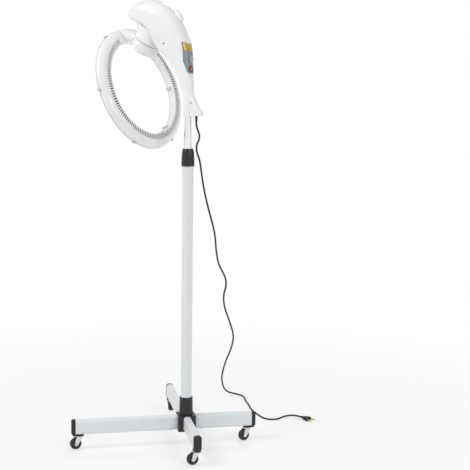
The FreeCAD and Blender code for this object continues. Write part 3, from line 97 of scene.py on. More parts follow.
CORD_RADIUS = 0.00325
CORD_POINTS = [
    (0.0, 33.0, 1122.0), (0.0, 33.0, 1104.0), (-6.0, 39.5, 1085.0), (-9.5, 41.2, 1065.0),
    (-5.4, 31.0, 1042.7), (-8.6, 28.5, 1019.9), (-20.7, 34.3, 991.0), (-34.2, 32.8, 942.7),
    (-56.2, 29.4, 879.4), (-91.4, 27.7, 803.5), (-131.3, 24.4, 729.0), (-165.8, 7.0, 655.7),
    (-194.0, -1.6, 606.0), (-229.5, 2.4, 561.5), (-252.7, -4.7, 524.2), (-268.6, -28.7, 481.8),
    (-298.6, -45.4, 429.9), (-352.7, -53.6, 358.6), (-398.7, -64.9, 296.3),
    (-428.0, -94.7, 239.3), (-457.5, -143.4, 168.2), (-495.5, -185.3, 94.7),
    (-530.0, -200.0, 45.0), (-568.0, -205.0, 13.0), (-596.0, -176.0, 3.6),
    (-586.0, -136.0, 3.4), (-545.0, -104.0, 3.4), (-500.0, -58.0, 3.4), (-456.0, -20.0, 3.4),
    (-404.0, 50.0, 3.4), (-382.0, 96.0, 3.4), (-408.0, 130.0, 3.4), (-448.0, 130.0, 4.4),
    (-478.0, 156.0, 8.2), (-471.5, 194.0, 8.2),
]


def make_cord(plug):
    """Mains cord along its points, with the plug at its far end; the plug argument is not used.
    """
    curve = bpy.data.curves.new("cord", "CURVE")
    curve.dimensions = "3D"
    spline = curve.splines.new("NURBS")
    spline.points.add(len(CORD_POINTS) - 1)
    for point, (x, y, z) in zip(spline.points, CORD_POINTS):
        point.co = (x / 1000, y / 1000, z / 1000, 1.0)
    spline.order_u = 3
    spline.use_endpoint_u = True
    curve.resolution_u = 16
    curve.bevel_depth = CORD_RADIUS
    curve.bevel_resolution = 6
    curve.use_fill_caps = True
    cord = bpy.data.objects.new("cord", curve)
    SCENE.collection.objects.link(cord)
    cord.data.materials.append(MATERIALS["cord_black"])
    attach(cord, "head")
    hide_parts("mains_cord")


# --- materials ---------------------------------------------------------------------------

NOISE_LOW, NOISE_HIGH = 0.3, 0.7     # most of a noise's values lie between them
SURFACE_IOR = 1.47
COAT_ROUGH = 0.08
GRAIN_HEIGHT = 0.0002
PATCH_FINENESS = 9                   # patches of polish along one patch of tone
EDGE_START, EDGE_FULL = 0.995, 0.90  # cosines of the bend at which rubbing starts and is full


class Tree:
    """Short hand for a material's nodes."""

    def __init__(self, name):
        self.material = bpy.data.materials.new(name)
        self.material.use_nodes = True
        self.tree = self.material.node_tree
        self.shader = self.tree.nodes["Principled BSDF"]
        self.where = self.node("ShaderNodeTexCoord").outputs["Object"]

    def node(self, kind, inputs=(), **settings):
        made = self.tree.nodes.new(kind)
        for key, value in settings.items():
            setattr(made, key, value)
        for key, value in dict(inputs).items():
            self.feed(made.inputs[key], value)
        return made

    def feed(self, socket, value):
        if isinstance(value, bpy.types.NodeSocket):
            self.tree.links.new(value, socket)
        else:
            socket.default_value = value

    def noise(self, scale, detail=4.0, where=None, rough=0.55):
        inputs = {"Vector": where or self.where, "Scale": scale, "Detail": detail,
                  "Roughness": rough}
        return self.node("ShaderNodeTexNoise", inputs).outputs["Fac"]

    def vary(self, scale, detail, low, high):
        """Noise that runs from low to high."""
        return self.spread(self.noise(scale, detail), NOISE_LOW, NOISE_HIGH, low, high)

    def spread(self, value, low, high, out_low, out_high):
        inputs = {"Value": value, "From Min": low, "From Max": high, "To Min": out_low,
                  "To Max": out_high}
        return self.node("ShaderNodeMapRange", inputs).outputs["Result"]

    def maths(self, operation, first, second):
        made = self.node("ShaderNodeMath", operation=operation)
        self.feed(made.inputs[0], first)
        self.feed(made.inputs[1], second)
        return made.outputs[0]

    def mix(self, share, first, second):
        made = self.node("ShaderNodeMix", data_type="RGBA")
        self.feed(made.inputs[0], share)
        self.feed(made.inputs[6], (*first, 1.0) if isinstance(first, tuple) else first)
        self.feed(made.inputs[7], (*second, 1.0) if isinstance(second, tuple) else second)
        return made.outputs[2]

    def stretched(self, x, y, z):
        inputs = {"Vector": self.where, "Scale": (x, y, z)}
        return self.node("ShaderNodeMapping", inputs).outputs["Vector"]

    def height(self):
        """Height of the point above the floor at rest, in metres."""
        return self.node("ShaderNodeSeparateXYZ", {0: self.where}).outputs["Z"]

    def soft_edge(self, radius):
        return self.node("ShaderNodeBevel", {"Radius": radius}, samples=4).outputs["Normal"]

    def bump(self, height, strength, distance, below=None):
        inputs = {"Height": height, "Strength": strength, "Distance": distance}
        if below is not None:
            inputs["Normal"] = below
        return self.node("ShaderNodeBump", inputs).outputs["Normal"]

    def set(self, **inputs):
        for key, value in inputs.items():
            if isinstance(value, tuple) and len(value) == 3:
                value = (*value, 1.0)
            self.feed(self.shader.inputs[key.replace("_", " ")], value)


def tinted(colour, factor):
    return tuple(min(1.0, c * factor) for c in colour)


def rubbed_edges(t, soft):
    """Patchy share of rubbing, only where the softened normal turns away from the flat one."""
    hard = t.node("ShaderNodeNewGeometry").outputs["Normal"]
    turn = t.node("ShaderNodeVectorMath", {0: soft, 1: hard}, operation="DOT_PRODUCT")
    bend = t.spread(turn.outputs["Value"], EDGE_START, EDGE_FULL, 0.0, 1.0)
    return t.maths("MULTIPLY", bend, t.spread(t.noise(90.0, 6.0), 0.42, 0.62, 0.0, 1.0))


def plain(name, colour, rough, metal=0.0, coat=0.0, tone=0.05, tone_scale=7.0, grain=900.0,
          depth=0.15, polish=0.06, edge=0.0004, wear=None, worn_rough=0.1, streak=None):
    """Moulded, painted or metal surface: slow changes of tone, uneven polish, a fine grain,
    soft edges, and rubbed edges where a wear colour is given."""
    t = Tree(name)
    slow = t.vary(tone_scale, 3.0, 0.0, 1.0)
    base = t.mix(slow, tinted(colour, 1 - tone), tinted(colour, 1 + tone))
    gloss = t.vary(tone_scale * PATCH_FINENESS, 5.0, max(0.02, rough - polish), rough + polish)
    soft = t.soft_edge(edge)
    if wear:
        rubbed = rubbed_edges(t, soft)
        base = t.mix(rubbed, base, wear)
        gloss = t.maths("ADD", gloss, t.maths("MULTIPLY", rubbed, worn_rough))
    t.set(Base_Color=base, Roughness=gloss)
    where = t.stretched(*streak) if streak else None
    t.set(Normal=t.bump(t.noise(grain, 2.0, where), depth, GRAIN_HEIGHT, soft))
    t.set(Metallic=metal, IOR=SURFACE_IOR)
    if coat:
        t.set(Coat_Weight=coat, Coat_Roughness=COAT_ROUGH)
    return t.material


def dusty_rubber():
    """Wheel rubber, dustiest on the side that rests on the floor."""
    t = Tree("wheel_rubber")
    low = t.spread(t.height(), 0.0, 0.012, 0.75, 0.15)
    dust = t.maths("MULTIPLY", low, t.spread(t.noise(240.0, 6.0), 0.42, 0.66, 0.0, 1.0))
    t.set(Base_Color=t.mix(dust, (0.014, 0.014, 0.015), (0.13, 0.125, 0.12)))
    t.set(Roughness=t.vary(160.0, 5.0, 0.38, 0.6))
    t.set(Normal=t.bump(t.noise(1400.0, 3.0), 0.35, 0.0002, t.soft_edge(0.0003)))
    return t.material


def leg_paint():
    """Satin powder coat: orange peel, and faint scuffs that are strongest low down."""
    t = Tree("leg_paint")
    slow = t.vary(5.0, 3.0, 0.0, 1.0)
    base = t.mix(slow, (0.725, 0.765, 0.790), (0.765, 0.805, 0.830))
    low = t.spread(t.height(), 0.05, 0.20, 1.0, 0.12)
    scuff = t.spread(t.noise(22.0, 8.0, t.stretched(1.0, 1.0, 5.0), 0.7), 0.60, 0.74, 0.0, 0.5)
    base = t.mix(t.maths("MULTIPLY", scuff, low), base, (0.50, 0.51, 0.52))
    t.set(Base_Color=base, Roughness=t.vary(60.0, 4.0, 0.27, 0.40))
    peel = t.bump(t.noise(420.0, 2.0), 0.22, 0.0003, t.soft_edge(0.0005))
    t.set(Normal=t.bump(t.noise(2200.0, 2.0), 0.08, 0.0001, peel))
    return t.material


def quartz_glass():
    """Quartz tube: clear, with slightly milky patches."""
    t = Tree("quartz")
    milky = t.spread(t.noise(30.0, 4.0), 0.35, 0.7, 0.0, 1.0)
    t.set(Base_Color=t.mix(milky, (0.93, 0.91, 0.86), (0.98, 0.97, 0.95)))
    t.set(Roughness=t.spread(milky, 0.0, 1.0, 0.05, 0.22), Transmission_Weight=0.75, IOR=1.46)
    t.set(Normal=t.bump(t.noise(260.0, 2.0), 0.05, 0.0002))
    return t.material


LENS_BOTTOM, LENS_TOP = 1.350, 1.382   # metres; the lens's colour lightens between them


def amber_window():
    """Amber moulding, lighter towards its top, with fine upright ribs in its face."""
    t = Tree("amber")
    deep = t.vary(60.0, 3.0, 0.0, 1.0)
    rise = t.spread(t.height(), LENS_BOTTOM, LENS_TOP, 0.0, 1.0)
    base = t.mix(rise, (0.50, 0.31, 0.015), (0.60, 0.45, 0.03))
    t.set(Base_Color=t.mix(t.maths("MULTIPLY", deep, 0.5), base, (0.44, 0.26, 0.012)))
    t.set(Roughness=t.vary(40.0, 3.0, 0.06, 0.14))
    t.set(IOR=1.53, Coat_Weight=0.6, Coat_Roughness=0.05, Subsurface_Weight=0.15)
    t.shader.inputs["Subsurface Radius"].default_value = (0.004, 0.002, 0.0004)
    ribs = t.node("ShaderNodeTexWave", {"Vector": t.where, "Scale": 180.0, "Distortion": 0.2},
                  bands_direction="X").outputs["Fac"]
    t.set(Normal=t.bump(ribs, 0.10, 0.0003, t.soft_edge(0.0005)))
    return t.material


LOOKS = {
    "mast_chrome": dict(colour=(0.88, 0.89, 0.90), rough=0.14, metal=1.0, tone=0.03,
                        tone_scale=12.0, depth=0.06, streak=(1.0, 1.0, 0.02)),
    "black_plastic": dict(colour=(0.016, 0.016, 0.018), rough=0.38, tone=0.2, grain=1200.0,
                          depth=0.3, edge=0.0006, wear=(0.06, 0.06, 0.065)),
    "hub_iron": dict(colour=(0.018, 0.018, 0.020), rough=0.34, tone=0.2, grain=420.0,
                     depth=0.35, edge=0.0008, wear=(0.10, 0.10, 0.105)),
    "zinc": dict(colour=(0.70, 0.71, 0.72), rough=0.27, metal=1.0, tone=0.1, tone_scale=60.0,
                 wear=(0.55, 0.55, 0.57), worn_rough=0.12),
    "white_gloss": dict(colour=(0.85, 0.86, 0.87), rough=0.18, tone=0.012, grain=260.0,
                        depth=0.05, polish=0.04, edge=0.0008, coat=0.3),
    "grille_plastic": dict(colour=(0.84, 0.85, 0.86), rough=0.24, tone=0.02, edge=0.0003),
    "panel_grey": dict(colour=(0.24, 0.27, 0.315), rough=0.34, tone=0.06, grain=1500.0,
                       depth=0.35, edge=0.0005, wear=(0.36, 0.39, 0.43)),
    "knob_silver": dict(colour=(0.42, 0.45, 0.50), rough=0.28, tone=0.05, coat=0.2,
                        wear=(0.62, 0.64, 0.68)),
    "rocker_red": dict(colour=(0.56, 0.10, 0.012), rough=0.20, tone=0.08, coat=0.4,
                       wear=(0.66, 0.20, 0.07)),
    "bronze": dict(colour=(0.62, 0.42, 0.18), rough=0.35, metal=1.0, tone=0.1,
                   tone_scale=40.0),
    "gear_nylon": dict(colour=(0.78, 0.76, 0.68), rough=0.45, tone=0.04),
    "motor_steel": dict(colour=(0.5, 0.51, 0.53), rough=0.35, metal=1.0, tone=0.08,
                        grain=700.0, streak=(1.0, 1.0, 0.05)),
    "reflector_aluminium": dict(colour=(0.82, 0.83, 0.85), rough=0.16, metal=1.0, tone=0.04,
                                tone_scale=20.0, depth=0.1),
    "ceramic": dict(colour=(0.74, 0.71, 0.63), rough=0.55, tone=0.06, tone_scale=50.0,
                    grain=1300.0, depth=0.4),
    "guard_chrome": dict(colour=(0.76, 0.77, 0.79), rough=0.13, metal=1.0, tone=0.06,
                         tone_scale=40.0),
    "clip_white": dict(colour=(0.62, 0.63, 0.64), rough=0.36, tone=0.05, grain=1200.0,
                       depth=0.25, edge=0.0005, wear=(0.45, 0.45, 0.46)),
    "cord_black": dict(colour=(0.013, 0.013, 0.014), rough=0.42, tone=0.25, grain=1500.0,
                       depth=0.3),
    "print_white": dict(colour=(0.72, 0.74, 0.76), rough=0.5, tone=0.03),
    # painted shade: a near-black colour put in joints, grooves and behind the vents, where there
    # is only shade
    "painted_shade_black": dict(colour=(0.012, 0.012, 0.013), rough=0.9, tone=0.2, grain=1800.0,
                        depth=0.8),
    "coil_wire": dict(colour=(0.30, 0.27, 0.24), rough=0.45, metal=1.0, tone=0.15,
                      tone_scale=90.0),
    "wheel_hub": dict(colour=(0.030, 0.030, 0.032), rough=0.33, tone=0.15, grain=900.0,
                      depth=0.2, wear=(0.08, 0.08, 0.085)),
}


def make_materials():
    """A material for each slot of the record, and those that only pieces drawn here have."""
    found = {name: plain(name, **look) for name, look in LOOKS.items()}
    found.update(leg_paint=leg_paint(), wheel_rubber=dusty_rubber(), quartz=quartz_glass(),
                 amber=amber_window())
    return found


def dress_cad():
    """Each CAD node gets the material of its slot."""
    slots = {s["node"]: s["material_slot"] for s in frame["record"]["subparts"]}
    for name, obj in NODES.items():
        obj.data.materials.clear()
        obj.data.materials.append(MATERIALS[slots[name]])


# --- drawing pieces ----------------------------------------------------------------------

SCALE = Matrix.Scale(0.001, 4)


def at(x, y, z):
    """Frame at a place of the machine, in millimetres."""
    return SCALE @ Matrix.Translation((x, y, z))


JOINT_Y, JOINT_Z = -171, 1386.5        # middle of the joint between the neck and the bowl
NECK_LEAN = math.radians(-33)
RING_Y, RING_Z = -208.5, 1222.6        # the ring's centre
RING_LEAN = math.radians(19.2)
TIMER_Y, TIMER_Z = 9.4, 1326.0         # foot of the knob
ROCKER_Y, ROCKER_Z = 8.6, 1293.5
ROCKER_LEAN = math.radians(-7)         # resting tipped to O

# Frames in which the pieces are drawn.
KNUCKLE = at(0, JOINT_Y, JOINT_Z) @ Matrix.Rotation(NECK_LEAN, 4, "X")
RING = at(0, RING_Y, RING_Z) @ Matrix((
    (-1, 0, 0, 0), (0, -math.sin(RING_LEAN), math.cos(RING_LEAN), 0),
    (0, math.cos(RING_LEAN), math.sin(RING_LEAN), 0), (0, 0, 0, 1)))
FACE = Matrix(((-1, 0, 0, 0), (0, 0, 1, 0), (0, 1, 0, 0), (0, 0, 0, 1)))   # seen from behind

MERGE_DISTANCE = 1e-6                  # metres
SHARP_ANGLE = 38                       # degrees; edges bent more than this stay sharp
CORNER_SHARE = 0.45                    # the most of a side that a rounded corner takes


class Piece:
    """A mesh put together from several drawn forms."""

    def __init__(self, name, body, slot, where):
        self.name, self.body, self.slot, self.where = name, body, slot, where
        self.points, self.faces, self.kinds, self.materials = [], [], [], []

    def add(self, form, material, place=Matrix.Identity(4)):
        points, faces = form
        base = len(self.points)
        self.points += [self.where @ place @ Vector(p) for p in points]
        self.faces += [[base + k for k in face] for face in faces]
        if material not in self.materials:
            self.materials.append(material)
        self.kinds += [self.materials.index(material)] * len(faces)

    def make(self, *replaced, angle=SHARP_ANGLE):
        mesh = bpy.data.meshes.new(self.name)
        mesh.from_pydata(self.points, [], self.faces)
        for polygon, kind in zip(mesh.polygons, self.kinds):
            polygon.material_index = kind
        bm = bmesh.new()
        bm.from_mesh(mesh)
        bmesh.ops.remove_doubles(bm, verts=bm.verts, dist=MERGE_DISTANCE)
        bmesh.ops.recalc_face_normals(bm, faces=bm.faces)
        bm.to_mesh(mesh)
        bm.free()
        for material in self.materials:
            mesh.materials.append(MATERIALS[material])
        mesh.shade_smooth()
        mesh.set_sharp_from_angle(angle=math.radians(angle))
        obj = bpy.data.objects.new(self.name, mesh)
        SCENE.collection.objects.link(obj)
        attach(obj, self.body)
        if replaced:
            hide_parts(*replaced)
        return obj


def rounded(profile, radius, steps=4):
    """A profile with its corners turned into short curves."""
    result = [profile[0]]
    for before, corner, after in zip(profile, profile[1:], profile[2:]):
        a, c, b = Vector(before), Vector(corner), Vector(after)
        reach = min(radius, (a - c).length * CORNER_SHARE, (b - c).length * CORNER_SHARE)
        first, last = c + (a - c).normalized() * reach, c + (b - c).normalized() * reach
        for k in range(steps + 1):
            t = k / steps
            result.append(tuple(first * (1 - t) ** 2 + c * 2 * t * (1 - t) + last * t ** 2))
    return result + [profile[-1]]


def band(inner, outer, first, last):
    """Closed square profile between two radii and two heights."""
    return [(inner, first), (outer, first), (outer, last), (inner, last), (inner, first)]


def both_sides(half, middle=()):
    """Closed profile whose corners after the middle mirror those before it."""
    return [*half, *middle, *((r, -h) for r, h in reversed(half)), half[0]]


def circle(radius, steps):
    """Points round the Z axis."""
    turns = (2 * math.pi * k / steps for k in range(steps))
    return [(radius * math.cos(t), radius * math.sin(t)) for t in turns]


def lathe(profile, steps=72, wave=None):
    """A profile of (radius, height) corners turned about Z. wave(angle, radius, height) gives
    a new radius."""
    points, faces, n = [], [], len(profile)
    for i in range(steps):
        t = 2 * math.pi * i / steps
        for r, h in profile:
            r = wave(t, r, h) if wave else r
            points.append((r * math.cos(t), r * math.sin(t), h))
    for i in range(steps):
        a, b = i * n, (i + 1) % steps * n
        faces += [(a + k, b + k, b + k + 1, a + k + 1) for k in range(n - 1)]
    return points, faces


def loft(rows):
    """Skin through rows of points, each a closed outline, with both ends filled."""
    n = len(rows[0])
    points = [p for row in rows for p in row]
    faces = []
    for i in range(len(rows) - 1):
        for k in range(n):
            a, b = i * n + k, i * n + (k + 1) % n
            faces.append((a, b, b + n, a + n))
    faces += [tuple(range(n - 1, -1, -1)), tuple(range(len(points) - n, len(points)))]
    return points, faces


def oval(half_x, half_y, power, steps=40):
    """Superellipse points round the Z axis."""
    points = []
    for i in range(steps):
        t = 2 * math.pi * i / steps
        c, s = math.cos(t), math.sin(t)
        points.append((half_x * math.copysign(abs(c) ** (2 / power), c),
                       half_y * math.copysign(abs(s) ** (2 / power), s)))
    return points


def swept(path, radius, sides=8):
    """Round bar along a list of points."""
    rows = []
    for i, here in enumerate(path):
        ahead = path[min(i + 1, len(path) - 1)] - path[max(i - 1, 0)]
        turn = ahead.normalized().to_track_quat("Z", "Y")
        rows.append([here + turn @ Vector((x, y, 0)) for x, y in circle(radius, sides)])
    return loft(rows)


def ring_arc(profile, start, end, steps):
    """A closed profile of (radius, height) corners carried round the ring's axis between two
    angles from the ring's top."""
    rows = []
    for i in range(steps + 1):
        t = math.radians(start + (end - start) * i / steps)
        rows.append([(-r * math.sin(t), r * math.cos(t), h) for r, h in profile])
    return loft(rows)


# --- casters -----------------------------------------------------------------------------

SWIVELS = {j["child"].removeprefix("caster_"): [v * 1000 for v in j["pos_m"]]
           for j in frame["record"]["behaviour"]["joints"] if j["child"].startswith("caster_")}
WEBS = 5
WEB_STATIONS = ((5.3, 1.5), (9.0, 1.1), (13.3, 1.4))              # radius, half width
WEB_SECTION = ((-1, 5.0), (-0.7, 6.9), (0.7, 6.9), (1, 5.0))      # share of that width, depth


def make_wheel(leg):
    """Rubber wheel with grooves in its tread, and a moulded centre with webs."""
    low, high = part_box("caster_wheel_" + leg)
    middle = (Vector(low) + Vector(high)) / 2 * 1000
    swivel = Vector(SWIVELS[leg])
    trail = Vector((middle.x - swivel.x, middle.y - swivel.y))
    heading = math.atan2(trail.y, trail.x)
    where = (at(middle.x, middle.y, middle.z) @ Matrix.Rotation(heading, 4, "Z")
             @ Matrix.Rotation(math.radians(90), 4, "X"))
    wheel = Piece("wheel_" + leg, "wheel_" + leg, "wheel_rubber", where)
    tread = both_sides([(13.9, -7.4), (14.2, -7.9), (17.2, -7.9), (18.4, -7.2), (19.2, -5.9),
                        (19.55, -4.0), (19.0, -3.7), (19.0, -3.1), (19.7, -2.8)],
                       [(19.95, 0)])
    wheel.add(lathe(rounded(tread, 0.5, 3), 96), "wheel_rubber")
    dish = both_sides([(2.6, -8.4), (5.2, -8.4), (5.5, -8.0), (5.7, -5.6), (12.6, -5.2),
                       (13.2, -7.2), (14.0, -7.4)])
    wheel.add(lathe(rounded(dish, 0.5, 3), 72), "wheel_hub")
    for side in (-1, 1):
        rows = [[(r, share * half, side * depth) for share, depth in WEB_SECTION]
                for r, half in WEB_STATIONS]
        for k in range(WEBS):
            wheel.add(loft(rows), "wheel_hub", Matrix.Rotation(2 * math.pi * k / WEBS, 4, "Z"))
    wheel.make("caster_wheel_" + leg)


# --- the head's panel --------------------------------------------------------------------

PROBE_START = 0.05                     # metres behind the pole's axis, clear of the panel
PRINT_FOOT, PRINT_FACE = 0.02, 0.14    # of the print, above the panel's face
TICK_INNER, TICK_OUTER, SHORT_OUTER = 12.4, 14.6, 13.8
TICK_HALF, SHORT_HALF = 0.32, 0.22
TICK_STRIPS = 3                        # short enough to follow the panel's curve
DEGREES_PER_MINUTE = 5
NUMBER_RADIUS = 17.3
NUMBER_SIZE = 4.0


def on_panel():
    """Function that gives the panel's face at a place of its view from behind, measured to
    the right of and above the timer's middle."""
    mesh = NODES["control_panel"].data
    tree = BVHTree.FromPolygons([v.co for v in mesh.vertices],
                                [tuple(p.vertices) for p in mesh.polygons])

    def depth(u, v):
        start = Vector((-u / 1000, PROBE_START, (TIMER_Z + v) / 1000))
        place = tree.ray_cast(start, Vector((0, -1, 0)))[0]
        return place.y * 1000 if place else None
    return depth


def make_dial_marks():
    """Ticks and numbers printed round the timer: minutes, clockwise from the top."""
    depth = on_panel()
    marks = Piece("dial_marks", "head", "panel_grey", SCALE)

    def lay(outline):
        rows = []
        for lift in (PRINT_FOOT, PRINT_FACE):
            row = []
            for u, v in outline:
                y = depth(u, v)
                if y is None:
                    return
                row.append((-u, y + lift, TIMER_Z + v))
            rows.append(row)
        marks.add(loft(rows), "print_white")

    for minute in range(0, 61, 5):
        t = math.radians(minute * DEGREES_PER_MINUTE)
        long = minute % 10 == 0
        length = (TICK_OUTER if long else SHORT_OUTER) - TICK_INNER
        half = TICK_HALF if long else SHORT_HALF
        c, s = math.cos(t), math.sin(t)
        for k in range(TICK_STRIPS):
            a = TICK_INNER + length * k / TICK_STRIPS
            b = TICK_INNER + length * (k + 1) / TICK_STRIPS
            lay([(r * s + w * c, r * c - w * s) for r, w in
                 ((a, -half), (b, -half), (b, half), (a, half))])
        if long:
            print_number(str(minute), NUMBER_RADIUS * s, NUMBER_RADIUS * c, marks, depth)
    marks.make(angle=60)


def print_number(text, u, v, marks, depth):
    """A number laid flat on the panel's face, with its middle at (u, v)."""
    curve = bpy.data.curves.new("number", "FONT")
    curve.body = text
    curve.size = NUMBER_SIZE
    curve.align_x, curve.align_y = "CENTER", "CENTER"
    curve.resolution_u = 4
    holder = bpy.data.objects.new("number", curve)
    SCENE.collection.objects.link(holder)
    bpy.context.view_layer.update()
    flat = bpy.data.meshes.new_from_object(holder)
    bpy.data.objects.remove(holder)
    bpy.data.curves.remove(curve)
    points = []
    for vertex in flat.vertices:
        y = depth(u + vertex.co.x, v + vertex.co.y)
        if y is None:
            return
        points.append((-(u + vertex.co.x), y + PRINT_FACE, TIMER_Z + v + vertex.co.y))
    marks.add((points, [tuple(p.vertices) for p in flat.polygons]), "print_white")
    bpy.data.meshes.remove(flat)


FLUTES = 30
FLUTE_DEPTH = 0.35
FLUTED_FROM = 9.9                      # radius beyond which the skirt is fluted


def make_timer_knob():
    """Knob with a fluted skirt, a dished face and a pointer ridge with a white line."""
    knob = Piece("timer_knob", "timer_dial", "knob_silver", at(0, TIMER_Y, TIMER_Z) @ FACE)
    skirt = [(0, 0.3), (9.6, 0.3), (10.9, 0.6), (10.9, 1.7), (10.3, 3.2), (9.4, 3.75), (8.6, 3.7),
             (8.2, 3.2), (5.0, 2.75), (0, 2.7)]

    def flutes(angle, radius, height):
        deep = FLUTE_DEPTH if radius > FLUTED_FROM else 0.0
        return radius - deep * max(0.0, math.cos(FLUTES * angle)) ** 4
    knob.add(lathe(rounded(skirt, 0.5, 3), 240, flutes), "knob_silver")
    rows = []
    for v, half, top in ((-8.4, 1.1, 3.4), (-8.0, 1.7, 5.4), (-5.0, 2.1, 6.0), (0.0, 2.2, 6.1),
                         (5.0, 1.8, 6.0), (8.8, 1.2, 5.5), (9.6, 0.7, 3.6)):
        rows.append([(-half, v, 2.0), (-half, v, top - 1.0), (-half + 0.35, v, top - 0.25),
                     (-half + 0.8, v, top), (half - 0.8, v, top), (half - 0.35, v, top - 0.25),
                     (half, v, top - 1.0), (half, v, 2.0)])
    knob.add(loft(rows), "knob_silver")
    line = [[(-0.3, v, top - 0.3), (-0.3, v, top), (0.3, v, top), (0.3, v, top - 0.3)]
            for v, top in ((1.5, 6.14), (5.0, 6.08), (8.7, 5.60))]
    knob.add(loft(line), "print_white")
    knob.add(lathe([(0, -22.0), (2.6, -22.0), (2.95, -21.6), (2.95, 1.0), (0, 1.0)], 32),
             "motor_steel")
    knob.make("timer_knob")


ROCKER_DISH = 0.020                    # the face rises by this times v squared
ROCKER_SIDES = 64


def make_rocker():
    """Round rocker with a hollowed face and its I and O marks, resting tipped to O."""
    where = at(0, ROCKER_Y, ROCKER_Z) @ Matrix.Rotation(ROCKER_LEAN, 4, "X") @ FACE
    rocker = Piece("rocker", "mains_switch", "rocker_red", where)

    def face(v, middle):
        return middle + ROCKER_DISH * v * v

    rows = []
    for radius, low in ((7.3, -1.5), (7.35, 1.0), (7.35, 2.7)):
        rows.append([(u, v, low) for u, v in circle(radius, ROCKER_SIDES)])
    for radius, drop in ((7.2, 0.35), (6.9, 0.08), (6.2, 0.0), (5.0, 0.0), (3.5, 0.0), (2.0, 0.0),
                         (0.6, 0.0)):
        rows.append([(u, v, face(v, 3.0) - drop) for u, v in circle(radius, ROCKER_SIDES)])
    rocker.add(loft(rows), "rocker_red")
    for side in (-1, 1):
        pin = lathe([(0, 6.6), (1.15, 6.6), (1.15, 8.4), (0.9, 8.6), (0, 8.6)], 20)
        rocker.add(pin, "rocker_red", Matrix.Rotation(side * math.pi / 2, 4, "Y"))
    for k in range(6):
        a, b = 2.7 + 0.45 * k, 2.7 + 0.45 * (k + 1)
        corners = ((-0.28, a), (0.28, a), (0.28, b), (-0.28, b))
        rocker.add(loft([[(u, v, face(v, 2.95) + lift) for u, v in corners]
                         for lift in (0.0, 0.12)]), "print_white")
    letter = [(u, v - 4.1) for u, v in circle(1.25, 28)]
    path = [Vector((u, v, face(v, 2.98))) for u, v in [*letter, letter[0]]]
    rocker.add(swept(path, 0.24, 6), "print_white")
    rocker.make("rocker")


# --- knuckle -----------------------------------------------------------------------------

BOWL_RADIUS, BOWL_DEPTH = 47.45, 45.9


def make_bowl():
    """Turning bowl: rolled rim, a painted shade line in the rim's groove for the joint, fine
    turned lines, and its boss inside.
    """
    bowl = Piece("rotor_bowl", "orbiter", "white_gloss", KNUCKLE)
    r, d = BOWL_RADIUS, BOWL_DEPTH
    outer = [(0, -d), (r - 30, -d), (r - 19, -0.98 * d), (r - 11, -0.92 * d), (r - 5, -0.8 * d),
             (r - 1.5, -0.62 * d), (r, -0.42 * d)]
    skin = rounded(outer + [(r, -9.0)], 9.0, 8)[:-1]
    lines = []
    for level in (-9.0, -6.4):
        lines += [(r, level - 0.5), (r - 0.35, level - 0.2), (r - 0.35, level + 0.2),
                  (r, level + 0.5)]
    rim = [(r, -2.6), (r - 0.35, -1.9), (r - 1.3, -1.55), (r - 1.3, -0.65), (r - 3.0, -0.62),
           (r - 3.0, -0.42 * d), (r - 7.5, -0.72 * d), (r - 20, -0.90 * d), (13, -d + 3.2),
           (13, -0.32 * d), (12.6, -0.3 * d), (8.1, -0.3 * d), (8.1, -d + 5.1), (0, -d + 5.1)]
    bowl.add(lathe(skin + lines + rim, 128), "white_gloss")
    # painted shade: a near-black band in the rim's groove stands in for the joint's shadow line
    bowl.add(lathe(band(r - 1.25, r - 0.75, -1.5, -0.7), 128), "painted_shade_black")
    bowl.make("rotor_bowl", angle=50)


def make_joint_shade():
    """Near-black ring inside the neck's lip: painted shade for the dark line of the joint."""
    shade_band = Piece("joint_shade_ring", "head", "black_plastic", KNUCKLE)
    # painted shade: a near-black ring where the joint reads dark from shade
    shade_band.add(lathe(band(44.75, 46.6, -0.45, -0.02), 128), "painted_shade_black")
    shade_band.make()


# --- ring --------------------------------------------------------------------------------

def make_vent_shade():
    """Near-black sheet on the reflector's back, seen through the vents: painted shade inside the
    ring.
    """
    piece = Piece("ring_vent_shade", "orbiter", "black_plastic", RING)
    section = rounded([(177.2, 11.75), (172.4, 12.2), (172.3, 18.6), (175.0, 20.0),
                       (189.0, 20.0), (194.0, 17.4), (196.6, 12.2), (177.2, 11.75)], 1.2, 3)[:-1]
    for start, end in ((19.5, 174.0), (186.0, 340.5)):
        # painted shade: a near-black sheet stands in for the shade inside the ring behind the
        # vents
        piece.add(ring_arc(section, start, end, 120), "painted_shade_black")
    piece.make()


def make_rim_shade():
    """Near-black band between the ring's cover and its reflector, along both rims: painted shade
    in those joints.
    """
    rim_shade = Piece("ring_rim_shade", "orbiter", "black_plastic", RING)
    for low, high in ((211.55, 212.2), (163.75, 164.05)):
        section = rounded(band(low, high, -0.1, -1.25), 0.25, 3)[:-1]
        # painted shade: thin near-black bands draw the shadow line in the rims' joints
        rim_shade.add(ring_arc(section, 0.0, 360.0, 240), "painted_shade_black")
    rim_shade.make()


HEATER_RADIUS, HEATER_HEIGHT = 187, 4   # of the tubes' axis, on the ring
HEATER_STARTS = (10, 190)              # degrees from the ring's top
HEATER_SWEEP = 160
GLASS_OUTSIDE, GLASS_BORE = 4.95, 4.1  # radii
GLASS_STEPS = 96
CAP_INSET = 0.6                        # degrees from a tube's end to its cap's middle
COIL_INSET = 4                         # degrees from a tube's end to the coil
COIL_TURNS = 150
TURN_STEPS = 10


def on_heater(angle, out=0.0, up=0.0):
    """Place beside the heaters' axis, on the ring."""
    t = math.radians(angle)
    r = HEATER_RADIUS + out
    return Vector((-r * math.sin(t), r * math.cos(t), HEATER_HEIGHT + up))


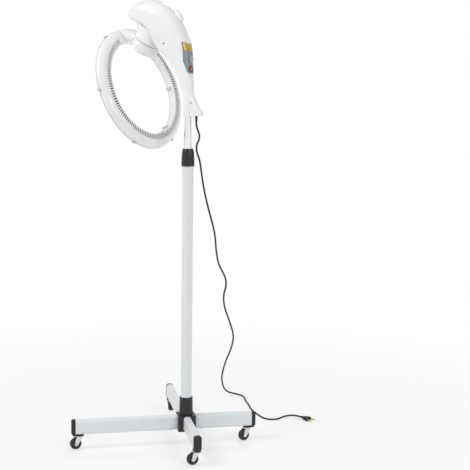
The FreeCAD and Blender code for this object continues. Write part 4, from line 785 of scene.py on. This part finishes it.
def heater_glass(start):
    """Form of one tube: its outside, and back through its bore."""
    rows = []
    for radius, backwards in ((GLASS_OUTSIDE, False), (GLASS_BORE, True)):
        skin = [[on_heater(start + HEATER_SWEEP * i / GLASS_STEPS, x, y)
                 for x, y in circle(radius, 20)] for i in range(GLASS_STEPS + 1)]
        rows += skin[::-1] if backwards else skin
    rows.append(rows[0])
    points, faces = loft(rows)
    return points, faces[:-2]


def heater_coil(start):
    """Form of the wound element in one tube."""
    steps = COIL_TURNS * TURN_STEPS
    path = []
    for k in range(steps + 1):
        t = 2 * math.pi * k / TURN_STEPS
        angle = start + COIL_INSET + (HEATER_SWEEP - 2 * COIL_INSET) * k / steps
        path.append(on_heater(angle, 2.3 * math.cos(t), 2.3 * math.sin(t)))
    return swept(path, 0.42, 4)


def make_heaters():
    """Quartz tubes with a wound element inside and metal end caps."""
    glass = Piece("heater_tubes", "orbiter", "quartz", RING)
    coil = Piece("heater_coils", "orbiter", "quartz", RING)
    cap = lathe(rounded([(0, -2.0), (3.9, -2.0), (3.9, 2.0), (0, 2.0)], 0.5, 2), 28)
    for start in HEATER_STARTS:
        glass.add(heater_glass(start), "quartz")
        coil.add(heater_coil(start), "coil_wire")
        for angle in (start + CAP_INSET, start + HEATER_SWEEP - CAP_INSET):
            turned = (Matrix.Translation(on_heater(angle))
                      @ Matrix.Rotation(math.radians(angle), 4, "Z")
                      @ Matrix.Rotation(math.radians(90), 4, "Y"))
            coil.add(cap, "motor_steel", turned)
    glass.make("heater_tubes")
    coil.make(angle=60)


# --- cord's fittings ---------------------------------------------------------------------

def make_strain_relief():
    """Tapered rubber strain relief with ribs, held in the tail's floor."""
    x, y, _ = CORD_POINTS[0]
    relief = Piece("strain_relief", "head", "black_plastic", at(x, y, 0))
    profile = [(3.1, 1122.1), (3.9, 1122.1)]
    for k in range(6):
        z, r = 1123.3 + 2.6 * k, 4.1 + 0.13 * k
        profile += [(r, z), (r + 0.15, z + 1.1), (r - 0.75, z + 1.5), (r - 0.72, z + 2.3)]
    profile += [(5.1, 1139.4), (7.1, 1140.0), (7.1, 1142.0), (5.6, 1142.1), (5.6, 1144.9),
                (6.9, 1145.3), (5.6, 1147.9), (0, 1147.9)]
    relief.add(lathe(rounded([(0, 1122.1)] + profile, 0.25, 2), 48), "black_plastic")
    relief.make("cord_gland", angle=50)


def make_plug():
    """Moulded two-pin plug: ribbed neck, waisted grip with ridges, and round pins."""
    a, b = Vector(CORD_POINTS[-2]), Vector(CORD_POINTS[-1])
    where = at(b.x, b.y, b.z) @ Matrix.Rotation(math.atan2(b.y - a.y, b.x - a.x), 4, "Z")
    plug = Piece("plug", "head", "cord_black", where)
    rows = []
    for k in range(5):
        start, radius = 0.4 + 2.8 * k, 4.0 + 0.27 * k
        for x, r in ((start, radius), (start + 1.5, radius + 0.15),
                     (start + 1.9, radius - 0.6), (start + 2.6, radius - 0.55)):
            rows.append([(x, u, v) for u, v in oval(r, r, 2.0)])
    for x, half_y, half_z, power in (
            (14.4, 6.4, 5.4, 2.2), (15.2, 8.6, 6.4, 2.6), (17.0, 10.4, 7.0, 3.0),
            (20.0, 11.3, 7.35, 3.4), (21.0, 11.0, 7.1, 3.4), (22.0, 11.3, 7.35, 3.4),
            (23.0, 11.0, 7.1, 3.4), (24.0, 11.35, 7.35, 3.4), (25.0, 11.1, 7.1, 3.4),
            (26.0, 11.5, 7.4, 3.6), (29.0, 11.9, 7.55, 4.0), (35.0, 12.3, 7.7, 4.4),
            (37.2, 12.3, 7.7, 4.4), (37.8, 12.0, 7.4, 4.4)):
        rows.append([(x, u, v) for u, v in oval(half_y, half_z, power)])
    plug.add(loft(rows), "cord_black")
    for side in (-1, 1):
        pin = rounded([(0, 37.0), (2.35, 37.0), (2.35, 55.6), (1.5, 56.9), (0, 56.9)], 0.8, 3)
        turned = Matrix.Translation((0, 9.5 * side, 0)) @ Matrix.Rotation(math.pi / 2, 4, "Y")
        plug.add(lathe(pin, 28), "bronze", turned)
    return plug.make("mains_plug", angle=50)


# --- surroundings ------------------------------------------------------------------------

FLOOR_HALF = 60.0
FLOOR_WHITE = 0.55                     # share of plain white near the pole
FADE_START, FADE_END = 0.55, 2.0       # distances from the pole between which it rises to 1
WORLD_LIGHT = 0.55
LAMPS = (("key", (2.2, -1.6, 3.2), 1.6, 60.0), ("fill", (0.5, 3.4, 2.2), 2.0, 35.0),
         ("rim", (-3.0, -1.0, 2.6), 1.6, 25.0))      # name, place, size, power
LAMP_AIM = Vector((0.0, 0.0, 0.9))


def make_floor():
    """Pale floor that takes the object's shadow and fades to plain white away from it."""
    mesh = bpy.data.meshes.new("floor")
    s = FLOOR_HALF
    mesh.from_pydata([(-s, -s, 0), (s, -s, 0), (s, s, 0), (-s, s, 0)], [], [(0, 1, 2, 3)])
    floor = bpy.data.objects.new("floor", mesh)
    SCENE.collection.objects.link(floor)
    t = Tree("floor")
    t.set(Base_Color=(0.88, 0.88, 0.88), Roughness=0.7)
    place = t.node("ShaderNodeVectorMath", {0: t.where}, operation="LENGTH").outputs["Value"]
    white = t.spread(place, FADE_START, FADE_END, FLOOR_WHITE, 1.0)
    path = t.node("ShaderNodeLightPath").outputs
    seen = t.maths("MAXIMUM", path["Is Camera Ray"],
                   t.maths("MAXIMUM", path["Is Glossy Ray"], path["Is Transmission Ray"]))
    glow = t.node("ShaderNodeEmission", {"Color": (1.0, 1.0, 1.0, 1.0), "Strength": 1.0})
    mix = t.node("ShaderNodeMixShader", {0: t.maths("MULTIPLY", white, seen),
                                         1: t.shader.outputs["BSDF"], 2: glow.outputs[0]})
    t.feed(t.tree.nodes["Material Output"].inputs["Surface"], mix.outputs[0])
    mesh.materials.append(t.material)


def make_lights():
    """Even light from all round, which the camera sees as plain white, and three soft lamps."""
    world = bpy.data.worlds.new("world")
    SCENE.world = world
    world.use_nodes = True
    tree = world.node_tree
    back = tree.nodes["Background"]
    back.inputs["Color"].default_value = (1.0, 1.0, 1.0, 1.0)
    back.inputs["Strength"].default_value = WORLD_LIGHT
    white = tree.nodes.new("ShaderNodeBackground")
    white.inputs["Color"].default_value = (1.0, 1.0, 1.0, 1.0)
    mix = tree.nodes.new("ShaderNodeMixShader")
    path = tree.nodes.new("ShaderNodeLightPath")
    tree.links.new(path.outputs["Is Camera Ray"], mix.inputs["Fac"])
    tree.links.new(back.outputs["Background"], mix.inputs[1])
    tree.links.new(white.outputs["Background"], mix.inputs[2])
    tree.links.new(mix.outputs["Shader"], tree.nodes["World Output"].inputs["Surface"])
    for name, place, size, power in LAMPS:
        data = bpy.data.lights.new(name, "AREA")
        data.shape = "DISK"
        data.size = size
        data.energy = power
        lamp = bpy.data.objects.new(name, data)
        lamp.location = place
        lamp.rotation_mode = "QUATERNION"
        aim = LAMP_AIM - Vector(place)
        lamp.rotation_quaternion = aim.to_track_quat("-Z", "Y")
        SCENE.collection.objects.link(lamp)


# --- making ------------------------------------------------------------------------------

MATERIALS = make_materials()
make_camera()
make_cord(make_plug())
dress_cad()
make_strain_relief()
for leg in LEGS:
    make_wheel(leg)
make_dial_marks()
make_timer_knob()
make_rocker()
make_bowl()
make_joint_shade()
make_vent_shade()
make_rim_shade()
make_heaters()
make_floor()
make_lights()
SCENE.view_settings.view_transform = "Standard"
